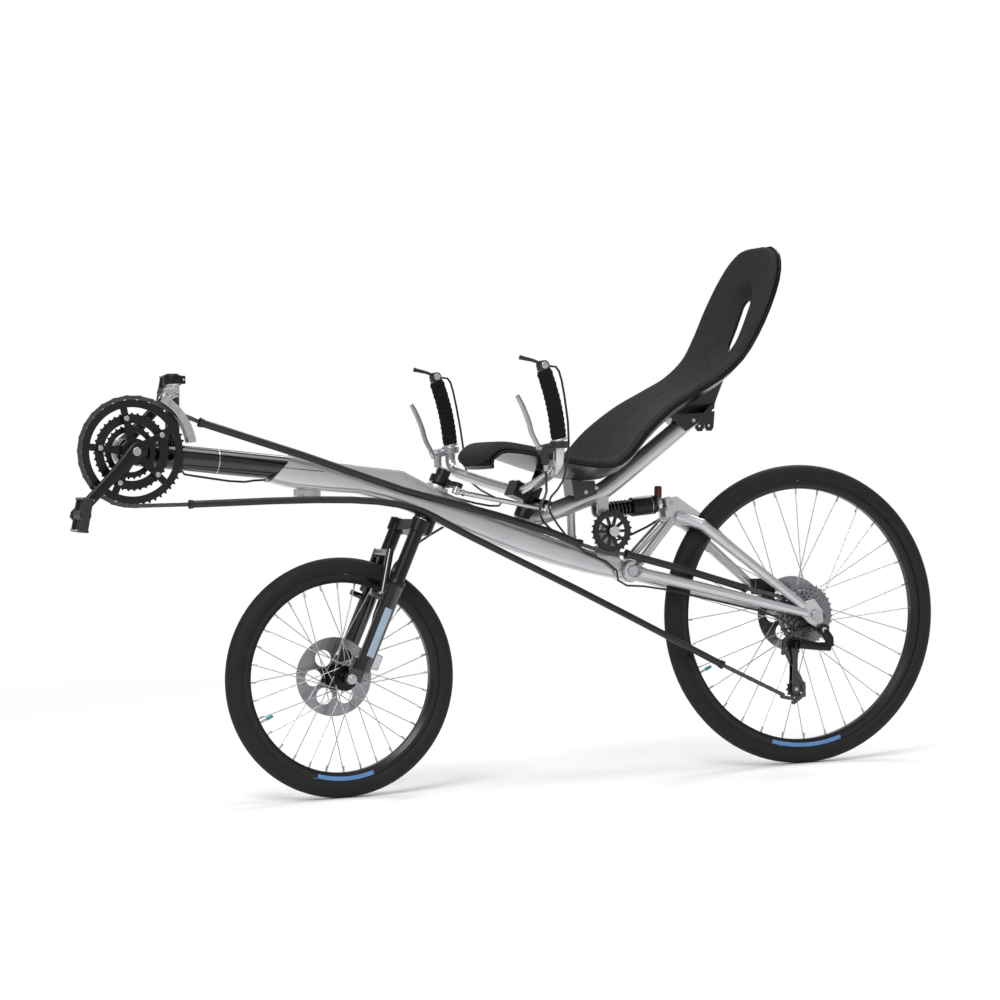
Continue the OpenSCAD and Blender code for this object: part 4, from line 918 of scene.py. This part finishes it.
drive_front = blended(off(crank_axis, 137, 54), off(idler_axis, -71, -24),
                      [(0, 0), (0.26, 0), (0.52, -5), (0.78, 4), (0.92, 5), (1, 0)])
drive_rear = blended(off(idler_axis, 30, -48), off(rear_axle, -154, 63), [(0, 0), (0.5, 2), (1, 0)])
bend = race + vec(0, 0, MM)
tail = off(rear_axle, -214, -95)
foot = off(crank_axis, 111, -106)
return_line = [foot, off(foot.lerp(bend, 0.45), 0, 19), off(foot.lerp(bend, 0.72), 0, 24), off(bend, -62, 21),
               off(bend, -15, 3), off(bend, 45, -32), off(bend.lerp(tail, 0.22), 0, -6),
               off(bend.lerp(tail, 0.55), 0, 0),
               tail]
return_path = smoothed(return_line, 1)
COG_R = 11 * 0.0127 / (2 * math.pi)
JOCKEY_R = 0.022
jockey_top, jockey_low = off(rear_axle, -46, -62), off(rear_axle, -47, -155)
crossing = 90 - math.degrees(math.acos(2 * JOCKEY_R / (jockey_top - jockey_low).length))
chain_line = (arc_points(crank_axis, RING_R, touch(crank_axis, RING_R, return_path[0], -1) + 360,
                         touch(crank_axis, RING_R, drive_front[0], 1), 60) + drive_front
              + arc_points(idler_axis, IDLER_R, touch(idler_axis, IDLER_R, drive_front[-1], 1),
                           touch(idler_axis, IDLER_R, drive_rear[0], -1), 6) + drive_rear
              + arc_points(rear_axle, COG_R, touch(rear_axle, COG_R, drive_rear[-1], -1), -80, 12)
              + arc_points(jockey_top, JOCKEY_R, 108, 180 + crossing, 10)
              + arc_points(jockey_low, JOCKEY_R, crossing, -116, 12) + return_path[::-1])
# Oiled steel, darker between the plates.
chain_steel = finish("chain_steel", "4E5053", 0.38, ("3A3C3F", "68696C", 0.005), metallic=1.0)


def link_plate(x0, x1, y, thick, half=0.0040):
    """One side plate with rounded ends."""
    points = []
    for x, side in ((x1, 1), (x0, -1)):
        for k in range(-3, 4):
            a = math.radians(30 * k) + (0 if side > 0 else math.pi)
            points.append((x + half * math.cos(a), half * math.sin(a)))
    return plate(points, y - thick / 2, y + thick / 2)


PITCH = 0.0127
pair = [link_plate(-PITCH / 2, PITCH / 2, s * 0.0028, 0.0009) for s in (-1, 1)]
pair += [link_plate(PITCH / 2, 3 * PITCH / 2, s * 0.0019, 0.0009, 0.0038) for s in (-1, 1)]
pair += [rod(vec(x, -0.0033, 0), vec(x, 0.0033, 0), 0.0018, sides=8) for x in (-PITCH / 2, PITCH / 2)]
pair += [rod(vec(x, -0.0014, 0), vec(x, 0.0014, 0), 0.0038, sides=10) for x in (-PITCH / 2, PITCH / 2)]
unit = mesh_object("unit", *merged(*pair))
curve = bpy.data.curves.new("chain_line", "CURVE")
curve.dimensions = "3D"
spline = curve.splines.new("POLY")
spline.points.add(len(chain_line) - 1)
for point, p in zip(spline.points, chain_line):
    point.co = (*p, 1)
spline.use_cyclic_u = True
route = bpy.data.objects.new("chain_line", curve)
bpy.context.scene.collection.objects.link(route)
length = sum((b - a).length for a, b in zip(chain_line, chain_line[1:] + chain_line[:1]))


def along_route(group, given):
    """Evenly along the route, each facing the way it runs."""
    shown = add(group, "GeometryNodeObjectInfo", None, {"Object": given["Route"]})
    spaced = add(group, "GeometryNodeResampleCurve", None,
                 {"Curve": shown.outputs["Geometry"], "Count": given["Count"]})
    facing = add(group, "FunctionNodeAlignRotationToVector", {"axis": "X", "pivot_axis": "Y"},
                 {"Vector": add(group, "GeometryNodeInputTangent").outputs[0]})
    return spaced.outputs[0], facing.outputs[0]


links = set_out("chain_nodes", (("Unit", "Object", unit), ("Route", "Object", route),
                                ("Count", "Int", round(length / (2 * PITCH))),
                                ("Material", "Material", chain_steel)), along_route)
build("chain_links", links, chain_steel, "frame", ["chain"], sharp=30)

# Extruded polyethylene, a little waxy.
tube_black = finish("chain_tube_plastic", "141415", 0.42, ("101011", "1A1A1B", 0.06), (0.004, 0.00003))
for name, path, r in (("drive_tube_front", drive_front, 7.75), ("drive_tube_rear", drive_rear, 7.75),
                      ("return_tube", return_path, 7.05)):
    carry(name, tube_black, 0)
    collars = []
    for end, inner in ((path[0], path[1]), (path[-1], path[-2])):
        out = (end - inner).normalized()
        collars.append(lathe([((r - 1.6) * MM, 0.0004), (r * MM, -0.008), ((r + 1.0) * MM, -0.008),
                              ((r + 2.2) * MM, 0.0008), ((r + 0.6) * MM, 0.0016)], end, out, 28))
    build(name + "_collars", merged(*collars), tube_black, "frame")

# ---- Rear derailleur and brake calipers ----
# The derailleur hangs from the dropout with two pulleys in a cage. Each caliper straddles its rotor.
hang = rear_axle + vec(0.012, -0.0755, -0.032)
pieces = [rod(hang - 0.010 * Y, hang + 0.001 * Y, 0.0125, sides=32),
          tube([hang - 0.006 * Y, hang + vec(0.012, -0.008, -0.020), hang + vec(0.014, -0.008, -0.036)],
               [0.0095, 0.0105, 0.0085], 20, flat=0.75),
          tube([hang + vec(0.014, -0.008, -0.036), hang + vec(-0.015, -0.006, -0.034),
                vec(jockey_top.x, -0.0795, jockey_top.z + 0.004)], [0.0095, 0.0085, 0.0105], 20, flat=0.75),
          rod(vec(jockey_top.x, -0.0795, jockey_top.z), vec(jockey_top.x, CHAIN_Y - 0.006, jockey_top.z),
              0.0080, sides=28)]
build("derailleur_body", merged(*pieces), black_alloy, "frame", ["rear_derailleur"],
      bevel=0.0006)
plates = []
for y in (CHAIN_Y - 0.0072, CHAIN_Y + 0.0068):
    outline = [(jockey_top.x + 0.0105 * math.cos(math.radians(a)),
                jockey_top.z + 0.0105 * math.sin(math.radians(a)))
               for a in range(0, 181, 20)]
    outline += [(jockey_top.x - 0.0070, jockey_top.z - 0.030), (jockey_low.x - 0.0070, jockey_low.z + 0.030)]
    outline += [(jockey_low.x + 0.0105 * math.cos(math.radians(a)),
                 jockey_low.z + 0.0105 * math.sin(math.radians(a)))
                for a in range(180, 361, 20)]
    outline += [(jockey_low.x + 0.0050, jockey_low.z + 0.030), (jockey_top.x + 0.0050, jockey_top.z - 0.030)]
    plates.append(plate(outline, y - 0.0008, y + 0.0008))
build("derailleur_cage_plates", merged(*plates), black_paint, "frame")
jockeys = []
for c in (jockey_top, jockey_low):
    jockeys.append(toothed(c, 11, JOCKEY_R - 0.0052, JOCKEY_R - 0.0012, 0.005, CHAIN_Y - 0.0012,
                           CHAIN_Y + 0.0012))
    jockeys.append(rod(flat(c) + (CHAIN_Y - 0.0055) * Y, flat(c) + (CHAIN_Y + 0.0055) * Y, 0.0062, sides=20))
build("jockey_wheels", merged(*jockeys), idler_black, "frame", bevel=0.0002)
build("derailleur_bolts", merged(rod(hang - 0.0125 * Y, hang - 0.0098 * Y, 0.0060),
                                 rod(flat(jockey_low) + (CHAIN_Y - 0.0100) * Y,
                                     flat(jockey_low) + (CHAIN_Y - 0.0078) * Y, 0.0042)), steel, "frame",
      bevel=0.0005)
carry("rear_caliper", black_alloy, 0.0020)
carry("front_caliper", alloy, 0.0022)
caliper_at = rear_axle + vec(-0.066, 0.040, 0.062)
build("rear_caliper_bolts", merged(*[rod(caliper_at + vec(x, 0.0135, z), caliper_at + vec(x, 0.0165, z),
                                         0.0040,
                                         sides=20) for x in (-0.018, 0.018) for z in (-0.010, 0.012)]),
      steel, "frame", bevel=0.0005)
front_at = front_axle + 0.057 * AXIS_BACK + 0.060 * AXIS_UP + 0.040 * Y
build("front_caliper_bolts", merged(*[rod(front_at + x * AXIS_BACK + z * AXIS_UP + 0.0130 * Y,
                                          front_at + x * AXIS_BACK + z * AXIS_UP + 0.0160 * Y, 0.0040,
                                          sides=20)
                                      for x in (-0.015, 0.015) for z in (-0.009, 0.011)]),
      steel, "fork", bevel=0.0005)

# ---- Handlebar, levers and tie rod ----
# The under-seat bar pivots on a post on the beam. Bare alloy tube, black foam grips, brake levers at
# the grips' feet and a shift lever plugged into each end; a polished rod links it to the fork.
carry("handlebar_post", black_alloy, 0.0008)
carry("handlebar_stem", black_alloy, 0.0016, sharp=28)
stem_mid = bar_pivot + (4 * AXIS_UP - 32 * AXIS_BACK) * MM
bolts = [rod(stem_mid + (s * 16 * Y + x * AXIS_BACK + 15 * AXIS_UP) * MM,
             stem_mid + (s * 16 * Y + x * AXIS_BACK + 18.5 * AXIS_UP) * MM, 0.0036, sides=20)
         for s in (-1, 1) for x in (-11, 14)]
build("stem_bolts", merged(*bolts), steel, "handlebar", bevel=0.0005)
carry("handlebar", alloy, 0, sharp=60)
GRIP_SIDE = 0.292          # from the middle plane to each grip
# Closed foam, polished a bit by hands.
grip_foam = finish("grip_foam", "0F0F10", 0.9, ("0B0B0C", "161617", 0.006), (0.0009, 0.00012), specular=0.2)
# Dark moulded plastic.
lever_grey = finish("lever_plastic_grey", "1B1C1E", 0.4, ("161719", "232426", 0.02))
# Die-cast alloy.
satin_silver = finish("satin_silver_lever", "A9ABAE", 0.35, ("9EA0A3", "B5B7BA", 0.01), metallic=0.9)
for which, s in (("left", -1), ("right", 1)):
    foot = vec(bar_pivot.x - 0.058, s * GRIP_SIDE, bar_pivot.z + 0.118)
    top = foot + vec(-0.027, 0, 0.136)
    up = (top - foot).normalized()

    def on_grip(f, x=0.0, y=0.0):
        return foot.lerp(top, f) + vec(0.005 * math.sin(math.pi * f) + x, s * y, 0)

    ribs, radii = [], []
    for k in range(49):
        f = k / 48
        ribs.append(on_grip(f))
        radii.append(0.0150 + 0.0009 * (math.sin(2 * math.pi * 12 * f) > 0) if 0.04 < f < 0.96 else 0.0140)
    build("grip_foam_" + which, tube(ribs, radii, 28), grip_foam, "handlebar",
          ["grip_" + which])
    build("grip_ring_" + which, rod(on_grip(0) - 0.0034 * up, on_grip(0) + 0.001 * up, 0.0162, sides=32),
          alloy, "handlebar", bevel=0.0006)
    base = foot - vec(0, 0, 0.018)
    body = [lathe([(0.0114, 0.0), (0.0172, 0.0), (0.018, 0.001), (0.018, 0.013), (0.0172, 0.014),
                   (0.0114, 0.014)],
                  base, (0, 0, 1), 36),
            tube([base + vec(-0.012, 0, 0.004), base + vec(-0.030, 0, 0.000), base + vec(-0.044, 0, -0.004)],
                 [0.0085, 0.0095, 0.0080], 20),
            tube([base + vec(-0.030, 0, 0.008), base + vec(-0.030, 0, -0.030)], [0.0088, 0.0078], 20)]
    build("lever_body_" + which, merged(*body), lever_grey if s < 0 else satin_silver, "handlebar",
          ["brake_lever_" + which], bevel=0.0010)
    blade = smoothed([base + vec(-0.042, 0, 0.002), base + vec(-0.058, 0, 0.030),
                      base + vec(-0.062, 0, 0.052),
                      base + vec(-0.076, 0, 0.088), base + vec(-0.086, 0, 0.106)], 2)
    build("brake_blade_" + which, tube(blade, [0.0046 + 0.0010 * math.sin(math.pi * k / (len(blade) - 1))
                                               for k in range(len(blade))], 16, flat=0.6), satin_silver,
          "handlebar")
    build("lever_pivot_" + which, rod(base + vec(-0.043, -0.0085, 0.001), base + vec(-0.043, 0.0085, 0.001),
                                      0.0034), steel, "handlebar", bevel=0.0004)
    pod = [lathe([(0.0, 0.0004), (0.0128, 0.0004), (0.013, 0.002), (0.013, 0.010), (0.0115, 0.013),
                  (0.0, 0.013)],
                 top, up, 32, whole=False),
           rod(top + 0.010 * up - 0.0115 * Y, top + 0.010 * up + 0.0115 * Y, 0.0098, sides=28)]
    build("shift_pod_" + which, merged(*pod), lever_grey, "handlebar",
          ["shift_lever_" + which],
          bevel=0.0006)
    build("shift_cap_" + which, merged(rod(top + 0.010 * up - 0.0130 * Y, top + 0.010 * up - 0.0112 * Y,
                                           0.0070),
                                       rod(top + 0.010 * up + 0.0112 * Y, top + 0.010 * up + 0.0130 * Y,
                                           0.0070)),
          alloy, "handlebar", bevel=0.0005)
    wand = smoothed([top + vec(-0.006, 0, 0.013), top + vec(-0.022, 0, 0.020), top + vec(-0.036, 0, 0.023),
                     top + vec(-0.050, 0, 0.0265)], 2)
    build("shift_wand_" + which, tube(wand, [0.0032 + 0.0018 * (k / (len(wand) - 1)) ** 2
                                             for k in range(len(wand))], 14), lever_grey, "handlebar")
carry("tie_rod", alloy, 0.0006)
ends = [race + (76 - 15) * MM * AXIS_UP + 0.020 * AXIS_BACK - 0.056 * Y,
        bar_pivot - 0.016 * AXIS_UP + 0.020 * AXIS_BACK - 0.056 * Y]
rod_dir = (ends[1] - ends[0]).normalized()
nuts = [rod(e + s * 0.013 * rod_dir, e + s * 0.018 * rod_dir, 0.0068, sides=6)
        for e, s in ((ends[0], 1), (ends[1], -1))]
build("tie_rod_nuts", merged(*nuts), steel, "tie_rod", bevel=0.0004)

# ---- Seat: brackets, shell and pad ----
# Two black brackets on the seat tube carry a glossy moulded shell, deep at the hips and flared at the
# shoulders, with a long hole in the headrest. A soft pad with a rounded, welted edge lies in it.
carry("seat_brackets", black_paint, 0.0012)
build("seat_bolts", merged(*[rod(hips + vec(x, y, z), hips + vec(x, y + 0.0016 * s, z), 0.0048, sides=6)
                             for s in (-1, 1) for x, y, z in ((-0.020, s * 0.024, -0.030),
                                                              (0.004, s * 0.024, -0.022),
                                                              (0.232, s * 0.024, 0.112),
                                                              (0.252, s * 0.024, 0.132))]),
      steel, "frame", bevel=0.0005)

# Stations along the middle: x and z from the hips, half width, height of the raised edge, in mm.
seat_rows = [(-250, 24, 70, -4), (-254, 44, 80, -4), (-241, 58, 88, -3), (-219, 62, 96, 0),
             (-170, 47, 122, 6),
             (-110, 23, 150, 13), (-50, 4, 167, 21), (0, 0, 172, 30), (45, 20, 172, 38), (90, 65, 164, 38),
             (145, 110, 150, 34), (200, 143, 140, 30), (258, 175, 138, 28), (310, 220, 142, 26),
             (345, 275, 148, 24),
             (372, 335, 150, 20), (395, 395, 138, 14), (408, 438, 112, 8), (416, 464, 74, 3),
             (420, 474, 36, 0)]


def station(t):
    """The seat's station at a place t from 0 to the last row."""
    i = min(int(t), len(seat_rows) - 2)
    f = t - i
    a, b, c, d = (seat_rows[max(0, min(len(seat_rows) - 1, i + k))] for k in (-1, 0, 1, 2))
    return [0.5 * (2 * b[n] + (c[n] - a[n]) * f + (2 * a[n] - 5 * b[n] + 4 * c[n] - d[n]) * f * f
                   + (3 * b[n] - a[n] - 3 * c[n] + d[n]) * f ** 3) for n in range(4)]


def seat_point(t, u, height, trim=0.0):
    """A point of the seat: share u across, and a height in mm over the shell's upper face."""
    here, after, before = station(t), station(min(t + 0.1, len(seat_rows) - 1)), station(max(t - 0.1, 0))
    along = vec(after[0] - before[0], 0, after[1] - before[1]).normalized()
    up = vec(-along.z, 0, along.x)
    y = (here[2] - trim) * u
    lift = height + here[3] * y * y / (here[2] * here[2])
    return hips + (vec(here[0], y, here[1]) + lift * up) * MM


def seat_loft(first, last, per_row, outline):
    """Closed rings round the seat's section from one row to another; outline gives (u, height, trim)."""
    count = round((last - first) * per_row)
    return loft([[seat_point(first + (last - first) * k / count, *spot) for spot in outline(k / count)]
                 for k in range(count + 1)])


HOLE_LENGTH = 0.118
HOLE_MID = hips + vec(0.352, 0, 0.312)
HOLE_TURN = Matrix.Rotation(math.radians(-72), 3, "Y")
last_row = len(seat_rows) - 1


def holed(shape, width):
    """Cuts the headrest's long hole, square to the backrest, through a shape."""
    half, end = HOLE_LENGTH / 2 - width / 2, width / 2
    line = [(s * half + end * math.cos(a), end * math.sin(a)) for s, start in ((1, -90), (-1, 90))
            for a in (math.radians(start + 15 * k) for k in range(13))]
    cutter = mesh_object("cutter", *moved(loft([[vec(x, y, z) for x, y in line] for z in (-0.06, 0.06)]),
                                          Matrix.Translation(HOLE_MID) @ HOLE_TURN.to_4x4()))
    body = mesh_object("body", *shape)
    for piece in (cutter, body):
        settle(piece)
    cut = body.modifiers.new("hole", "BOOLEAN")
    cut.operation, cut.solver, cut.object = "DIFFERENCE", "EXACT", cutter
    mesh = bpy.data.meshes.new_from_object(body.evaluated_get(bpy.context.evaluated_depsgraph_get()))
    kept = [v.co.copy() for v in mesh.vertices], [list(f.vertices) for f in mesh.polygons]
    for spent in (cutter, body):
        bpy.data.objects.remove(spent)
    return kept


ACROSS = 18        # steps of the pad's outline from its middle to one edge
PAD_T = 18         # the pad's full height, that of its welted edge and its gap to the shell, in mm
PAD_WELT = 5
PAD_GAP = 0.6
PAD_TRIM = 6.0     # how far the pad stays in from the shell's edge, in mm


def thinned(t, u):
    """How full the pad is near the headrest's hole: 0 at its edge, 1 a hand's width away."""
    near = (HOLE_TURN.inverted() @ (seat_point(t, u, 0, PAD_TRIM) - HOLE_MID))
    away = math.hypot(max(0.0, abs(near.x) - 0.039), near.y) - 0.020
    f = max(0.0, min(1.0, away / 0.040))
    return f * f * (3 - 2 * f) if abs(near.z) < 0.08 else 1.0


def pad_outline(share):
    """Crowned foam: full in the middle, rolled down to a thin welt at the edge and at both ends."""
    close = min(1.0, min(share, 1 - share) / 0.04)
    narrow = max(0.04, math.sqrt(1 - (1 - close) ** 2))
    t = 0.5 + (last_row - 1.0) * share
    spots = []
    for k in range(-ACROSS, ACROSS + 1):
        u = k / ACROSS
        roll = max(0.0, 1 - abs(u) ** 14) ** 0.5 * narrow
        channel = 2.2 * math.exp(-((abs(u) - 0.42) / 0.035) ** 2)
        full = (PAD_T - PAD_WELT - PAD_GAP - channel) * roll * thinned(t, u)
        spots.append((u * narrow, PAD_GAP + PAD_WELT * (0.3 + 0.7 * thinned(t, u)) + full, PAD_TRIM))
    base = [(k / ACROSS * narrow, PAD_GAP, PAD_TRIM) for k in range(ACROSS, -ACROSS - 1, -1)]
    return spots + base


# Gel-coated laminate; slow waviness that breaks up reflections.
shell_gloss = finish("glossy_black_shell", "080809", 0.3, ("070708", "0C0C0D", 0.1), (0.02, 0.00006),
                     coat=0.12, specular=0.15)
pad_cloth, tree, shader = principled("charcoal_pad_mesh", "2B2B2D", 0.95, specular=0.15)
place = add(tree, "ShaderNodeTexCoord").outputs["Object"]
weave = add(tree, "ShaderNodeTexVoronoi", None, {"Vector": place, "Scale": 420.0})
bumpy(tree, shader, weave.outputs["Distance"], 0.0005)      # open spacer mesh
# The colour follows the same pattern as the bumps: painted shade, darker in the mesh's pits and lighter on its
# ridges.
shaded(tree, shader, weave.outputs["Distance"], "1D1D1F", "39393B")
carry("seat_shell", shell_gloss, 0.0012, sharp=40)
pad = build("seat_pad_soft", holed(seat_loft(0.5, last_row - 0.5, 6, pad_outline), 0.040), pad_cloth, "frame",
            ["seat_pad"], sharp=60)
welt_line = [seat_point(0.5 + (last_row - 1.0) * k / 90, 0.995, 2.2, 5.0) for k in range(91)]
welt_line += [seat_point(last_row - 0.5 - (last_row - 1.0) * k / 90, -0.995, 2.2, 5.0) for k in range(91)]
build("seat_welt", tube(welt_line, 0.0021, 8, closed=True), grip_foam, "frame")

# ---- Hoses and cables ----
# Black hoses run from the brake levers to the calipers and two thinner ones from the shift levers to
# the derailleurs. All four stay with the frame: they don't follow the handlebar or the fork.
# Extruded sleeve.
hose_black = finish("hose_black", "0B0B0C", 0.4, ("09090A", "111112", 0.03))
for name in ("rear_brake_hose", "front_brake_hose", "shift_cable_rear", "shift_cable_front"):
    carry(name, hose_black, 0, sharp=70)
for name, s in (("rear_brake_hose", -1), ("front_brake_hose", 1)):
    lever_end = vec(bar_pivot.x - 0.088, s * GRIP_SIDE, bar_pivot.z + 0.068)
    build(name + "_ferrule", rod(lever_end - vec(0, 0, 0.012), lever_end, 0.0042, 0.0046), steel, "handlebar",
          bevel=0.0004)
